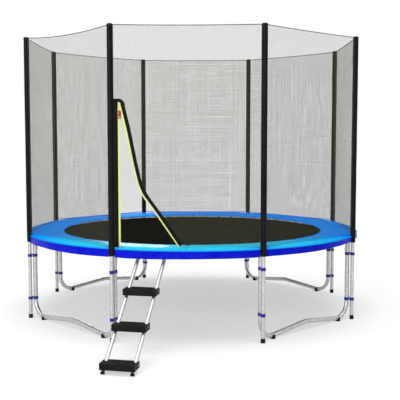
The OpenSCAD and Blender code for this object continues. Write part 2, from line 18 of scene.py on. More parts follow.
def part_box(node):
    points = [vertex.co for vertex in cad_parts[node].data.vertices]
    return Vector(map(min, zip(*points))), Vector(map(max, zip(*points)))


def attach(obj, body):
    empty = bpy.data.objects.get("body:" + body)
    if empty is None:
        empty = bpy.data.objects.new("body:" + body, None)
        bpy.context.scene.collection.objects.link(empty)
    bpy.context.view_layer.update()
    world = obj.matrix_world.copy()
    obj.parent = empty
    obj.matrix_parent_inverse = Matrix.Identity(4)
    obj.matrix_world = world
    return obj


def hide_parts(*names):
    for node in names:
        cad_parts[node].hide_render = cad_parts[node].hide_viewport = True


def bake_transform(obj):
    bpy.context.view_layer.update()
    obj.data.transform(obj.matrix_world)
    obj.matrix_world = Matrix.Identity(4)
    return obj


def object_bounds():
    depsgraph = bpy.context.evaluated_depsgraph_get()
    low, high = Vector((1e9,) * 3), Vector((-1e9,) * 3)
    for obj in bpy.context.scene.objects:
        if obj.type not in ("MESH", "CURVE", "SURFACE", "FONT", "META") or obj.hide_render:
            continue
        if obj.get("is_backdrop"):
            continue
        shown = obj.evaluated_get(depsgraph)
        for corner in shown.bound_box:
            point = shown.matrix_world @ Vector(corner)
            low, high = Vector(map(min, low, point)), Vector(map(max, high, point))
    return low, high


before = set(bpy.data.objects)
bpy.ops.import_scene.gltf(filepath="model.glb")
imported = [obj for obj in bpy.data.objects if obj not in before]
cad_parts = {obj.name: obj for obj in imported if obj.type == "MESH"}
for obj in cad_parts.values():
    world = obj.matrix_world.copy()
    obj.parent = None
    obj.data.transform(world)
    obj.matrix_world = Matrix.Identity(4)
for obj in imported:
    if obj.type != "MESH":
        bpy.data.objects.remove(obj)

scene = bpy.context.scene
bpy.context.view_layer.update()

# %% [markdown]
# ## Measures
# The frame knows where each solid is, so most places are read from it: the ring of poles, the
# height of the mat, the pad's box. Only what a box can't tell, such as the pad's inner radius,
# is written here as a size.

# %% Read the places of the frame's pieces
SIDES = 8
TURN = math.tau / SIDES
MM = 0.001


def middle(node):
    low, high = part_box(node)
    return (low + high) / 2


pole_places = [middle(f"pole_lower_{i}") for i in range(1, SIDES + 1)]
pole_ring = pole_places[0].xy.length
pole_angles = [math.atan2(place.y, place.x) for place in pole_places]
side_out = pole_ring * math.cos(TURN / 2)
sleeve_low, sleeve_top = (corner.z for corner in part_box("foam_sleeve_1"))
mat_low, mat_top = (corner.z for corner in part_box("mat"))
mat_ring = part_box("mat")[1].x
pad_low, pad_high = (corner.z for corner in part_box("pad"))
pad_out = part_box("pad")[1].x
skirt_low, skirt_top = (corner.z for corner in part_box("pad_skirt"))
net_low, net_top = (corner.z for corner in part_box("net_walls"))

PAD_IN = 1.215
SLEEVE_R = 24 * MM
NET_HALF = pole_ring * math.sin(TURN / 2) - SLEEVE_R - 0.6 * MM
print(f"poles on a ring of {pole_ring:.3f} m, net sides {2 * NET_HALF:.3f} m wide")

# %% [markdown]
# ## Camera
# A long lens from a standing person's height, a little right of the middle, looks slightly down.

# %% Camera
camera = bpy.data.objects.new("camera", bpy.data.cameras.new("camera"))
scene.collection.objects.link(camera)
camera.data.lens = 71.1
camera.data.sensor_width = 36
camera.location = (0.206, -7.541, 1.620)
camera.rotation_euler = (math.pi / 2 - 0.0806, 0, math.radians(1.011))
scene.camera = camera

# %% [markdown]
# ## Light, floor and background
# A plain pale studio: a wide bright sky overhead throws the soft shadow under the mat and lights
# the floor evenly to the horizon, a wide lamp in front fills the sides that face the viewer, and
# a low one behind gives the pad its sheen. What the camera and mirror-like surfaces see of the
# world is plain white, but the light that the world gives is weaker, so that colours keep their
# depth. The floor adds the same share of white for those rays, and keeps the shadow.


# %% One helper that adds a shader or geometry node
def put(tree, kind, sockets=None, **settings):
    """Adds a node. settings are its properties, and sockets maps an input to a value or to the
    output that feeds it."""
    node = tree.nodes.new(kind)
    for name, value in settings.items():
        setattr(node, name, value)
    for key, value in (sockets or {}).items():
        if isinstance(value, bpy.types.NodeSocket):
            tree.links.new(value, node.inputs[key])
        else:
            node.inputs[key].default_value = value
    return node


def linear(hex_colour):
    """An sRGB hex colour as the linear red, green, blue and alpha that shaders take."""
    channels = [int(hex_colour[i:i + 2], 16) / 255 for i in (1, 3, 5)]
    return [c / 12.92 if c <= 0.04045 else ((c + 0.055) / 1.055) ** 2.4 for c in channels] + [1.0]


def seen_directly(tree):
    """1 for rays from the camera, and for those that a mirror or glass sends on; otherwise 0."""
    rays = put(tree, "ShaderNodeLightPath")
    sent = rays.outputs["Is Camera Ray"]
    for kind in ("Is Glossy Ray", "Is Transmission Ray"):
        sent = put(tree, "ShaderNodeMath", {0: sent, 1: rays.outputs[kind]},
                   operation="MAXIMUM").outputs[0]
    return sent


# %% World and floor
WORLD_LIGHT = 0.42
FLOOR_ALBEDO = 0.43
FLOOR_WHITE = 0.515

world = bpy.data.worlds.new("studio")
scene.world = world
world.use_nodes = True
tree = world.node_tree
tree.nodes.clear()
strength = put(tree, "ShaderNodeMapRange", {"Value": seen_directly(tree), "To Min": WORLD_LIGHT,
                                            "To Max": 1.0})
sky = put(tree, "ShaderNodeBackground", {"Color": (1, 1, 1, 1), "Strength": strength.outputs[0]})
put(tree, "ShaderNodeOutputWorld", {"Surface": sky.outputs[0]})

floor_paint = bpy.data.materials.new("matt_white_floor")
floor_paint.use_nodes = True
tree = floor_paint.node_tree
tree.nodes.clear()
white = put(tree, "ShaderNodeMath", {0: seen_directly(tree), 1: FLOOR_WHITE}, operation="MULTIPLY")
glow = put(tree, "ShaderNodeEmission", {"Color": (1, 1, 1, 1), "Strength": white.outputs[0]})
matt = put(tree, "ShaderNodeBsdfDiffuse", {"Color": (FLOOR_ALBEDO,) * 3 + (1,)})
both = put(tree, "ShaderNodeAddShader", {0: matt.outputs[0], 1: glow.outputs[0]})
put(tree, "ShaderNodeOutputMaterial", {"Surface": both.outputs[0]})

FLOOR_HALF = 40
floor_mesh = bpy.data.meshes.new("floor")
floor_mesh.from_pydata([(x * FLOOR_HALF, y * FLOOR_HALF, 0) for x, y in
                        ((-1, -1), (1, -1), (1, 1), (-1, 1))], [], [(0, 1, 2, 3)])
floor = bpy.data.objects.new("floor", floor_mesh)
scene.collection.objects.link(floor)
floor.data.materials.append(floor_paint)
floor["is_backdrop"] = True


# %% Lamps
def soft_lamp(name, place, aim, width, height, watts):
    data = bpy.data.lights.new(name, "AREA")
    data.shape = "RECTANGLE"
    data.size, data.size_y, data.energy = width, height, watts
    lamp = bpy.data.objects.new(name, data)
    scene.collection.objects.link(lamp)
    lamp.location = place
    lamp.rotation_euler = (Vector(aim) - Vector(place)).to_track_quat("-Z", "Y").to_euler()
    lamp.visible_camera = False
    return lamp


overhead = bpy.data.objects.new("overhead", bpy.data.lights.new("overhead", "SUN"))
scene.collection.objects.link(overhead)
overhead.data.energy = 2.2
overhead.data.angle = math.radians(50)
front = soft_lamp("front", (-2.5, -7.5, 3.2), (0, 0, 1.2), 3.5, 2.5, 260)
sheen = soft_lamp("sheen", (-1.15, 6.2, 1.75), (-0.4, -1.38, 0.75), 1.0, 0.35, 60)
print("lamps:", overhead.data.energy, front.data.energy, sheen.data.energy)

# %% [markdown]
# ## Finishes
# Every finish is a small node tree on Principled BSDF, and starts from what the real surface
# is. Patterns read Object coordinates, which are the frame's own metres, or a piece's UV map,
# which is also in metres, so a pattern's scale is one over its real size. Constants go straight
# into the shader's sockets, and only what varies over the surface comes from nodes. Matt black
# goods mirror far less than their index says, so shine, the share of that mirroring, is low.


# %% Helpers for finishes
def new_finish(name, **constants):
    """A material with a Principled shader. constants are its sockets, with _ for a space."""
    finish = bpy.data.materials.new(name)
    finish.use_nodes = True
    tree = finish.node_tree
    tree.nodes.clear()
    shader = put(tree, "ShaderNodeBsdfPrincipled",
                 {key.replace("_", " "): value for key, value in constants.items()})
    put(tree, "ShaderNodeOutputMaterial", {"Surface": shader.outputs[0]})
    return finish, tree, shader


def cloudy(tree, size, uv=False):
    """Soft random patches of a real size in metres, or of three sizes, from 0 to 1."""
    sizes = (size,) * 3 if isinstance(size, float) else size
    source = put(tree, "ShaderNodeTexCoord").outputs["UV" if uv else "Object"]
    where = put(tree, "ShaderNodeMapping", {"Vector": source, "Scale": [1 / s for s in sizes]})
    cloud = put(tree, "ShaderNodeTexNoise", {"Vector": where.outputs[0], "Scale": 1.0})
    return cloud.outputs["Fac"]


def tinted(tree, shader, amount, dark, light, start=0.35, end=0.65):
    """Base colour from dark to light while amount goes from start to end."""
    share = put(tree, "ShaderNodeMapRange", {"Value": amount, "From Min": start, "From Max": end})
    colour = put(tree, "ShaderNodeMix", {"Factor": share.outputs[0], 6: linear(dark),
                                         7: linear(light)}, data_type="RGBA").outputs[2]
    tree.links.new(colour, shader.inputs["Base Color"])
    return colour


def skinned(tree, shader, height, depth, smooth=None, rough=None):
    """A bump of a depth in metres, and a roughness that follows the same height."""
    bump = put(tree, "ShaderNodeBump", {"Height": height, "Distance": depth})
    tree.links.new(bump.outputs[0], shader.inputs["Normal"])
    if rough is not None:
        gloss = put(tree, "ShaderNodeMapRange",
                    {"Value": height, "To Min": smooth, "To Max": rough})
        tree.links.new(gloss.outputs[0], shader.inputs["Roughness"])


def woven(tree, thread, uv=False):
    """Height of a plain weave whose threads lie thread metres apart, from 0 in the gaps to 1."""
    one_wave = math.tau / 20  # the wave texture has 20 / tau bands in one unit
    source = put(tree, "ShaderNodeTexCoord").outputs["UV" if uv else "Object"]
    where = put(tree, "ShaderNodeMapping", {"Vector": source, "Scale": (1 / thread,) * 3})
    warp, weft = (put(tree, "ShaderNodeTexWave", {"Vector": where.outputs[0], "Scale": one_wave},
                      bands_direction=way).outputs["Fac"] for way in "XY")
    return put(tree, "ShaderNodeMath", {0: warp, 1: weft}, operation="MAXIMUM").outputs[0]


# %% [markdown]
# Steel tube on garden goods is rolled from zinc-coated strip. Zinc freezes in flat crystals,
# the spangle, a few millimetres to a centimetre wide, which differ a little in brightness and
# in gloss. Springs, rings and bolts are plated afterwards: their zinc is even and brighter.


# %% Metals
def galvanised_tube():
    finish, tree, shader = new_finish("galvanised_steel_tube", Metallic=1.0)
    source = put(tree, "ShaderNodeTexCoord").outputs["Object"]
    where = put(tree, "ShaderNodeMapping", {"Vector": source, "Scale": (1 / (9 * MM),) * 3})
    crystals = put(tree, "ShaderNodeTexVoronoi", {"Vector": where.outputs[0], "Scale": 1.0})
    tone = put(tree, "ShaderNodeSeparateColor", {"Color": crystals.outputs["Color"]}).outputs[0]
    tinted(tree, shader, tone, "#B4B5B6", "#CDCECE", 0.1, 0.9)
    # drawing marks run along the tubes; they are drawn coarser than the real scratches
    skinned(tree, shader, cloudy(tree, (3 * MM, 3 * MM, 60 * MM)), 0.08 * MM, 0.40, 0.54)
    return finish


def plated_zinc(name, light):
    finish, tree, shader = new_finish(name, Metallic=1.0)
    stains = cloudy(tree, 4 * MM)
    tinted(tree, shader, stains, "#A8AAAC", light)
    skinned(tree, shader, stains, 0.02 * MM, 0.22, 0.34)
    return finish


tube_steel = galvanised_tube()
bolt_zinc = plated_zinc("zinc_plated_fastener", "#CFD0D2")
spring_zinc = plated_zinc("zinc_plated_spring_wire", "#C8CACC")
print("metals:", tube_steel.name, bolt_zinc.name, spring_zinc.name)

# %% [markdown]
# Caps, feet, treads and clamps are injection-moulded: a spark-eroded mould leaves a fine grain
# of about a third of a millimetre, which makes the gloss broad and soft. The saddles under the
# legs are rubber, duller and with a coarser skin.


# %% Moulded plastics and rubber
def moulded(name, dark, light, gloss, grain=0.35 * MM, depth=0.03 * MM, shine=0.12):
    finish, tree, shader = new_finish(name, IOR=1.49, Specular_IOR_Level=shine)
    tinted(tree, shader, cloudy(tree, 40 * MM), dark, light)
    skinned(tree, shader, cloudy(tree, grain), depth, gloss - 0.06, gloss + 0.06)
    return finish


# the grain is drawn at 1 mm on the treads, coarser than it is, so that it shows up close
tread_plastic = moulded("moulded_polypropylene_black", "#0B0B0B", "#131313", 0.52, 1 * MM,
                        0.08 * MM)
clamp_plastic = moulded("moulded_polypropylene_blue", "#1A1F84", "#232A9A", 0.34, shine=0.25)
pull_plastic = moulded("moulded_acetal_red", "#921005", "#A6180A", 0.36, shine=0.25)
cap_plastic = moulded("moulded_polyethylene_black", "#131313", "#1A1A1A", 0.48)
teeth_plastic = moulded("moulded_acetal_yellow", "#DDE27E", "#EEF29A", 0.35, shine=0.25)
saddle_rubber = moulded("moulded_rubber_black", "#161616", "#1E1E1D", 0.78, 2 * MM, 0.05 * MM)
print("mouldings:", tread_plastic.name, clamp_plastic.name, pull_plastic.name, cap_plastic.name)

# %% [markdown]
# The pad's cover and the skirt are PVC-coated polyester: a plain weave of about a millimetre
# shows faintly through a smooth skin. The top of the pad on the side of the door has a painted
# sheen: its colour is lighter there, from azure towards cyan, and less so where it slopes down
# outwards, which is painted shade. People climb in there too, and rub the skin glossy. The skirt
# is deep blue. The foam sleeves have a black cover of the same cloth, duller.

# %% Coated cloths
# the painted sheen on the pad's top grows towards the door along y, and painted shade takes it off
# the outer slope, by the radius
SHEEN_PAINT_START, SHEEN_PAINT_END = -0.55, -1.35
SHADED_SLOPE_START, SHADED_SLOPE_END = 1.50, 1.57
RUBBED_PLACE = (-0.4, -1.38, 0.75)
RUBBED_R, UNRUBBED_R = 0.3, 0.7
RUBBED_GLOSS, PAD_GLOSS = 0.22, 0.48


def coated_cloth(name, dark, light, gloss, shine):
    finish, tree, shader = new_finish(name, IOR=1.52, Specular_IOR_Level=shine)
    tinted(tree, shader, cloudy(tree, 90 * MM), dark, light)
    skinned(tree, shader, woven(tree, 1 * MM), 0.05 * MM, gloss + 0.05, gloss - 0.05)
    return finish


def pad_cloth(name, dark, light, painted_sheen_colour):
    """The pad's cover, with a painted sheen on top by the door, none on the shaded outer slope,
    and rubbed smooth where people climb in.
    """
    finish, tree, shader = new_finish(name, IOR=1.52, Specular_IOR_Level=0.002)
    own_colour = tinted(tree, shader, cloudy(tree, 90 * MM), dark, light)
    skinned(tree, shader, woven(tree, 1 * MM), 0.01 * MM)
    source = put(tree, "ShaderNodeTexCoord").outputs["Object"]
    depth = put(tree, "ShaderNodeSeparateXYZ", {"Vector": source}).outputs["Y"]
    level = put(tree, "ShaderNodeVectorMath", {0: source, 1: (1, 1, 0)}, operation="MULTIPLY")
    reach = put(tree, "ShaderNodeVectorMath", {0: level.outputs[0]}, operation="LENGTH")
    away = put(tree, "ShaderNodeVectorMath", {0: source, 1: RUBBED_PLACE}, operation="DISTANCE")
    painted_sheen_share, flat, gloss = (
        put(tree, "ShaderNodeMapRange", {"Value": value, "From Min": start, "From Max": end,
                                         "To Min": low, "To Max": high},
            interpolation_type="SMOOTHSTEP").outputs[0]
        for value, start, end, low, high in (
            (depth, SHEEN_PAINT_START, SHEEN_PAINT_END, 0, 1),
            (reach.outputs["Value"], SHADED_SLOPE_END, SHADED_SLOPE_START, 0, 1),
            (away.outputs["Value"], RUBBED_R, UNRUBBED_R, RUBBED_GLOSS, PAD_GLOSS)))
    # painted sheen: the top's colour is lightened towards cyan by the door, but not on the outer
    # slope, which is painted shade
    painted_sheen = put(tree, "ShaderNodeMath", {0: painted_sheen_share, 1: flat}, operation="MULTIPLY")
    mixed = put(tree, "ShaderNodeMix",
                {"Factor": painted_sheen.outputs[0], 6: own_colour, 7: linear(painted_sheen_colour)}, data_type="RGBA")
    tree.links.new(mixed.outputs[2], shader.inputs["Base Color"])
    tree.links.new(gloss, shader.inputs["Roughness"])
    return finish


# the last colour is that of the painted sheen on the pad's top
pad_cover = pad_cloth("pvc_coated_polyester_azure", "#0486EE", "#0C8EF6", painted_sheen_colour="#30C2E2")
skirt_cover = coated_cloth("pvc_coated_polyester_deep_blue", "#0812CC", "#0E20DC", 0.42, 0.06)
sleeve_cover = coated_cloth("pvc_coated_polyester_black", "#0D0D0D", "#151514", 0.50, 0.08)
print("coated cloths:", pad_cover.name, skirt_cover.name, sleeve_cover.name)

# %% [markdown]
# The mat is woven from flat polypropylene tape, black against sunlight; the tape is about two
# millimetres wide. Its edge is bound with webbing, and the same webbing hems the door. The net
# is knitted from polyethylene yarn, weathered to a grey olive. These cloths are rough all
# through, so only the tapes and webbing keep a little shine.


# %% Woven and knitted cloths
def woven_cloth(name, dark, light, thread, uv=True, rough=0.65, shine=0.1):
    finish, tree, shader = new_finish(name, IOR=1.5, Specular_IOR_Level=shine)
    height = woven(tree, thread, uv)
    threads = tinted(tree, shader, height, dark, light, 0.2, 0.9)
    worn = put(tree, "ShaderNodeMix", {"Factor": cloudy(tree, 60 * thread, uv), 6: threads,
                                       7: linear(light)}, data_type="RGBA")
    tree.links.new(worn.outputs[2], shader.inputs["Base Color"])
    skinned(tree, shader, height, 0.2 * thread, rough + 0.1, rough - 0.05)
    return finish


# the mat's weave is drawn at twice the real tape's width, so that it shows from above
mat_weave = woven_cloth("woven_polypropylene_black", "#0F0F0C", "#1A1A17", 4 * MM, uv=False,
                        rough=0.85, shine=0)
webbing = woven_cloth("polyester_webbing_black", "#121211", "#1C1C1B", 1.2 * MM, shine=0.05)
zip_tape = woven_cloth("polyester_zip_tape_yellow", "#D4DA78", "#EAF09A", 0.6 * MM)
net_yarn = woven_cloth("knitted_polyethylene_grey_olive", "#454436", "#585744", 0.5 * MM, uv=False)
cord_braid = woven_cloth("braided_polyester_cord_black", "#151514", "#20201E", 1.5 * MM,
                         shine=0.05)
black_thread = woven_cloth("bonded_nylon_thread_grey", "#33332F", "#4A4A45", 0.3 * MM, uv=False)
blue_thread = woven_cloth("bonded_nylon_thread_blue", "#0C3A88", "#144CA4", 0.3 * MM, uv=False)
print("cloths:", mat_weave.name, webbing.name, zip_tape.name, net_yarn.name, cord_braid.name)

# %% [markdown]
# ## The frame's own pieces
# The rigid solids have the right shapes already, so they keep their meshes and only take a
# finish in their material slots. The treads are an exception: a moulding has no sharp edge, so
# each gets a copy with small bevels in its place.

# %% Dress the rigid nodes
RIGID = {
    "top_rail": tube_steel, "leg_base": tube_steel, "leg_uprights": tube_steel,
    "pole_lower": tube_steel, "upper_poles": tube_steel, "ladder_rail": tube_steel,
    "pole_caps": cap_plastic, "pole_feet": cap_plastic, "leg_feet": saddle_rubber,
    "pole_clamps": clamp_plastic, "clamp_bolts": bolt_zinc, "frame_screws": bolt_zinc,
    "mat_rings": bolt_zinc, "zip_slider": pull_plastic, "step": tread_plastic,
    "ladder_feet": saddle_rubber, "ladder_bolts": bolt_zinc,
}
dressed = 0
for node_name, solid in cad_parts.items():
    for stem, finish in RIGID.items():
        if node_name.startswith(stem):
            for slot in solid.material_slots:
                slot.material = finish
            dressed += 1
print("rigid nodes dressed:", dressed)


# %% One helper that turns a mesh into a piece
def as_piece(name, mesh, finish, body="frame", stands_for=()):
    """Names a finished mesh, gives it its finish and lets it ride on a body of the frame."""
    mesh.name = name
    mesh.materials.clear()
    mesh.materials.append(finish)
    mesh.shade_smooth()
    piece = bpy.data.objects.new(name, mesh)
    scene.collection.objects.link(piece)
    if body:
        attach(piece, body)
    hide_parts(*stands_for)
    return piece


# %% Treads with moulded edges
TREAD_BEVEL = 1.5 * MM
for step_name in ("step_1", "step_2", "step_3"):
    edges = bmesh.new()
    edges.from_mesh(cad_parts[step_name].data)
    bmesh.ops.remove_doubles(edges, verts=edges.verts, dist=0.01 * MM)
    bmesh.ops.dissolve_limit(edges, angle_limit=math.radians(1), verts=edges.verts,
                             edges=edges.edges)
    sharp = [edge for edge in edges.edges if len(edge.link_faces) == 2
             and edge.calc_face_angle() > math.radians(40)]
    bmesh.ops.bevel(edges, geom=sharp, offset=TREAD_BEVEL, segments=2, profile=0.5,
                    affect="EDGES", clamp_overlap=True)
    tread = bpy.data.meshes.new(step_name)
    edges.to_mesh(tread)
    edges.free()
    as_piece(f"tread_{step_name[-1]}", tread, tread_plastic, "ladder",
             [step_name])
    tread.shade_flat()
print("treads with bevelled edges: 3")

# %% [markdown]
# ## Three helpers for meshes
# Most soft pieces here are a surface over rows and columns: a sleeve, a skirt or a pad is a
# grid of points that a formula places. A strap, a cord or a wire is an outline that is carried
# along a path. And a shell that closes on itself needs its open ends filled and its faces
# turned outwards. With these three, each piece below only has to say what its shape is.


# %% Grids, swept outlines and closed shells
def quad_grid(points, uv, around=False, along=False):
    """Quads over rows and columns of points. around closes every row on itself and along joins
    the last row to the first; uv, in metres, then has one more column or row."""
    rows, columns = points.shape[:2]
    row, column = np.mgrid[0:rows - (not along), 0:columns - (not around)]
    corners = [(row, column), (row, column + 1), (row + 1, column + 1), (row + 1, column)]
    faces = np.stack([r % rows * columns + c % columns for r, c in corners], axis=-1)
    mesh = bpy.data.meshes.new("grid")
    mesh.from_pydata(points.reshape(-1, 3).tolist(), [], faces.reshape(-1, 4).tolist())
    places = np.stack([uv[r, c] for r, c in corners], axis=2)
    mesh.uv_layers.new(name="UVMap").data.foreach_set("uv", places.astype(np.float32).ravel())
    return mesh


def closed(mesh):
    """Fills a mesh's open ends and turns its faces outwards."""
    shell = bmesh.new()
    shell.from_mesh(mesh)
    bmesh.ops.holes_fill(shell, edges=[edge for edge in shell.edges if edge.is_boundary], sides=0)
    bmesh.ops.recalc_face_normals(shell, faces=shell.faces)
    shell.to_mesh(mesh)
    shell.free()
    return mesh


def distances(points):
    """How far along a row of points each of them lies."""
    steps = np.linalg.norm(np.diff(points, axis=0), axis=1)
    return np.concatenate([[0.0], np.cumsum(steps)])


def swept(path, outline, up, loop=False, spread=1.0):
    """Carries a closed outline of (across, up) points along a path. up is one direction, or one
    for each point, and may be rough: it is squared to the path. spread widens the outline, by
    one share or by one for each point."""
    path, outline = np.array(path, float), np.array(outline, float)
    if loop:
        ahead = np.roll(path, -1, axis=0) - np.roll(path, 1, axis=0)
    else:
        ahead = np.gradient(path, axis=0)
    ahead /= np.linalg.norm(ahead, axis=1, keepdims=True)
    across = np.cross(ahead, np.broadcast_to(np.array(up, float), path.shape))
    across /= np.linalg.norm(across, axis=1, keepdims=True)
    lift = np.cross(across, ahead)
    across *= np.broadcast_to(spread, len(path))[:, None]
    points = (path[:, None] + outline[None, :, :1] * across[:, None]
              + outline[None, :, 1:] * lift[:, None])
    girth = distances(np.vstack([outline, outline[:1]]))
    run = distances(np.vstack([path, path[:1]])) if loop else distances(path)
    uv = np.stack(np.meshgrid(girth, run), axis=-1)
    return closed(quad_grid(points, uv, around=True, along=loop))


def joined(meshes):
    """Several meshes as one."""
    whole = bmesh.new()
    for mesh in meshes:
        whole.from_mesh(mesh)
    result = bpy.data.meshes.new("joined")
    whole.to_mesh(result)
    whole.free()
    return result


# %% Outlines and curves
def round_outline(radius, sides):
    turns = np.arange(sides) * math.tau / sides
    return radius * np.stack([np.cos(turns), np.sin(turns)], axis=1)


def strap_outline(width, thickness, shift=0.0):
    """A flat strap with rounded edges, on the middle of its thickness."""
    half, t = width / 2, thickness / 2
    edge = [(half - t, -t), (half - 0.3 * t, -0.7 * t), (half, 0), (half - 0.3 * t, 0.7 * t),
            (half - t, t)]
    points = np.array(edge + [(-x, -y) for x, y in edge])
    return points + (shift, 0)


def smooth_line(points, count):
    """A curve through points, as count points spread evenly along it."""
    points = np.array(points, float)
    before = np.vstack([2 * points[:1] - points[1:2], points, 2 * points[-1:] - points[-2:-1]])
    dense = []
    for a, b, c, d in zip(before, before[1:], before[2:], before[3:]):
        t = np.linspace(0, 1, 40, endpoint=False)[:, None]
        dense.append(0.5 * (2 * b + (c - a) * t + (2 * a - 5 * b + 4 * c - d) * t ** 2
                            + (3 * b - a - 3 * c + d) * t ** 3))
    dense = np.vstack(dense + [points[-1:]])
    run = distances(dense)
    even = np.linspace(0, run[-1], count)
    return np.stack([np.interp(even, run, column) for column in dense.T], axis=1)


def polar(radius, angle, height):
    """Points at polar places, as one array."""
    radius, angle, height = np.broadcast_arrays(radius, angle, height)
    return np.stack([radius * np.cos(angle), radius * np.sin(angle), height], axis=-1)


# %% [markdown]
# ## Geometry Nodes for what repeats
# Yarn, stitches, zip teeth and webbing loops are one small shape many times over. Three trees
# make them all. One lays a flat bar along every edge of a mesh, one sets copies of a piece
# along a path at even spacing, and one sets copies on a ring. Each tree has named inputs, ends
# in Realize Instances and Set Material, and its result is taken as a plain mesh.


# %% Start a tree, and grow a mesh with one
def new_growth(name, **inputs):
    """A Geometry Nodes tree. inputs are the kinds of its named inputs, _ for a space, which
    stand between a geometry and a material."""
    tree = bpy.data.node_groups.new(name, "GeometryNodeTree")
    for label, kind in {"Geometry": "Geometry", **inputs, "Material": "Material"}.items():
        tree.interface.new_socket(label.replace("_", " "), in_out="INPUT",
                                  socket_type="NodeSocket" + kind)
    tree.interface.new_socket("Geometry", in_out="OUTPUT", socket_type="NodeSocketGeometry")
    return tree, put(tree, "NodeGroupInput").outputs


def end_growth(tree, shape, material):
    real = put(tree, "GeometryNodeRealizeInstances", {"Geometry": shape})
    painted = put(tree, "GeometryNodeSetMaterial",
                  {"Geometry": real.outputs[0], "Material": material})
    put(tree, "NodeGroupOutput", {"Geometry": painted.outputs[0]})


def grown(tree, base, **values):
    """The plain mesh that a tree makes from a base mesh. values are its inputs, _ for a space."""
    holder = bpy.data.objects.new("holder", base)
    scene.collection.objects.link(holder)
    modifier = holder.modifiers.new("growth", "NODES")
    modifier.node_group = tree
    for item in tree.interface.items_tree:
        key = item.name.replace(" ", "_")
        if item.in_out == "INPUT" and key in values:
            modifier[item.identifier] = values[key]
    seen = holder.evaluated_get(bpy.context.evaluated_depsgraph_get())
    result = bpy.data.meshes.new_from_object(seen)
    bpy.data.objects.remove(holder)
    return result


def line_mesh(lines):
    """Rows of points as a mesh of edges only."""
    mesh = bpy.data.meshes.new("lines")
    points = [tuple(point) for line in lines for point in line]
    edges, start = [], 0
    for line in lines:
        edges += [(start + i, start + i + 1) for i in range(len(line) - 1)]
        start += len(line)
    mesh.from_pydata(points, edges, [])
    return mesh


def parked(mesh):
    """An object that a tree can copy but that isn't in the scene."""
    return bpy.data.objects.new(mesh.name, mesh)


# %% Tree 1: a flat bar along every edge
yarn_tree, given = new_growth("yarn_along_edges", Facing="Vector", Width="Float",
                              Thickness="Float")
lines = put(yarn_tree, "GeometryNodeMeshToCurve", {"Mesh": given["Geometry"]})
turned = put(yarn_tree, "GeometryNodeSetCurveNormal", {"Curve": lines.outputs[0],
                                                       "Normal": given["Facing"]}, mode="FREE")
section = put(yarn_tree, "GeometryNodeCurvePrimitiveQuadrilateral", {"Width": given["Thickness"],
                                                                     "Height": given["Width"]})
bars = put(yarn_tree, "GeometryNodeCurveToMesh", {"Curve": turned.outputs[0], "Fill Caps": True,
                                                  "Profile Curve": section.outputs[0]})
end_growth(yarn_tree, bars.outputs[0], given["Material"])

# %% Tree 2: copies of a piece along a path
row_tree, given = new_growth("row_along_path", Facing="Vector", Spacing="Float", Piece="Object")
lines = put(row_tree, "GeometryNodeMeshToCurve", {"Mesh": given["Geometry"]})
spots = put(row_tree, "GeometryNodeCurveToPoints", {"Curve": lines.outputs[0],
                                                    "Length": given["Spacing"]}, mode="LENGTH")
flat = put(row_tree, "FunctionNodeAlignRotationToVector", {"Vector": given["Facing"]}, axis="Z")
ahead = put(row_tree, "FunctionNodeAlignRotationToVector",
            {"Rotation": flat.outputs[0], "Vector": spots.outputs["Tangent"]},
            axis="X", pivot_axis="Z")
model = put(row_tree, "GeometryNodeObjectInfo", {"Object": given["Piece"]})
copies = put(row_tree, "GeometryNodeInstanceOnPoints",
             {"Points": spots.outputs[0], "Instance": model.outputs["Geometry"],
              "Rotation": ahead.outputs[0]})
end_growth(row_tree, copies.outputs[0], given["Material"])

# %% Tree 3: copies of a piece on a ring round the middle
ring_tree, given = new_growth("copies_on_ring", Count="Int", First_Angle="Float", Piece="Object")
spots = put(ring_tree, "GeometryNodePoints", {"Count": given["Count"]})
step = put(ring_tree, "ShaderNodeMath", {0: math.tau, 1: given["Count"]}, operation="DIVIDE")
angle = put(ring_tree, "ShaderNodeMath", {0: put(ring_tree, "GeometryNodeInputIndex").outputs[0],
                                          1: step.outputs[0], 2: given["First Angle"]},
            operation="MULTIPLY_ADD")
turn = put(ring_tree, "ShaderNodeCombineXYZ", {"Z": angle.outputs[0]})
model = put(ring_tree, "GeometryNodeObjectInfo", {"Object": given["Piece"]})
copies = put(ring_tree, "GeometryNodeInstanceOnPoints",
             {"Points": spots.outputs[0], "Instance": model.outputs["Geometry"],
              "Rotation": turn.outputs[0]})
end_growth(ring_tree, copies.outputs[0], given["Material"])
print("trees:", yarn_tree.name, row_tree.name, ring_tree.name)


# %% A stitch, which three kinds of seam share
def stitch_model(length, thickness):
    """One stitch along x: a low six-sided bead with tapered ends."""
    share = np.array([-1, -0.7, 0.7, 1]) * length / 2
    girth = np.array([0.35, 1, 1, 0.35]) * thickness / 2
    ring = round_outline(1.0, 6)
    points = np.array([[(x, g * y, g * z) for y, z in ring] for x, g in zip(share, girth)])
    uv = np.zeros((4, 7, 2))
    return closed(quad_grid(points, uv, around=True))


long_stitch = parked(stitch_model(5 * MM, 0.9 * MM))
print("a stitch has", len(long_stitch.data.polygons), "faces")

# %% [markdown]
# ## Jumping mat
# A round of woven cloth, cut about 2.6 m wide and pulled tight by its springs, so it is nearly
# flat: its own weight lets the middle down by a few millimetres. The webbing under its edge
# holds one loop for each spring's ring, and two rows of stitches go round it.

# %% The mat
MAT_SAG = 5 * MM
RINGS = 46
SPOKES = 180

share = np.linspace(0, 1, RINGS)[1:]
spoke = np.arange(SPOKES) * math.tau / SPOKES


def mat_face(height):
    """Rings of points from the middle outwards, at a height that sags towards the middle."""
    dip = MAT_SAG * (1 - share[:, None] ** 2)
    return polar(share[:, None] * mat_ring, spoke[None, :], height - dip)


points = np.concatenate([mat_face(mat_top), mat_face(mat_low)[::-1]])
seamless = np.append(spoke, math.tau)
reach = np.concatenate([share, share[::-1]]) * mat_ring
uv = polar(reach[:, None], seamless[None, :], 0)[..., :2]
mat = as_piece("jumping_mat", closed(quad_grid(points, uv, around=True)), mat_weave,
               "mat", ["mat"])

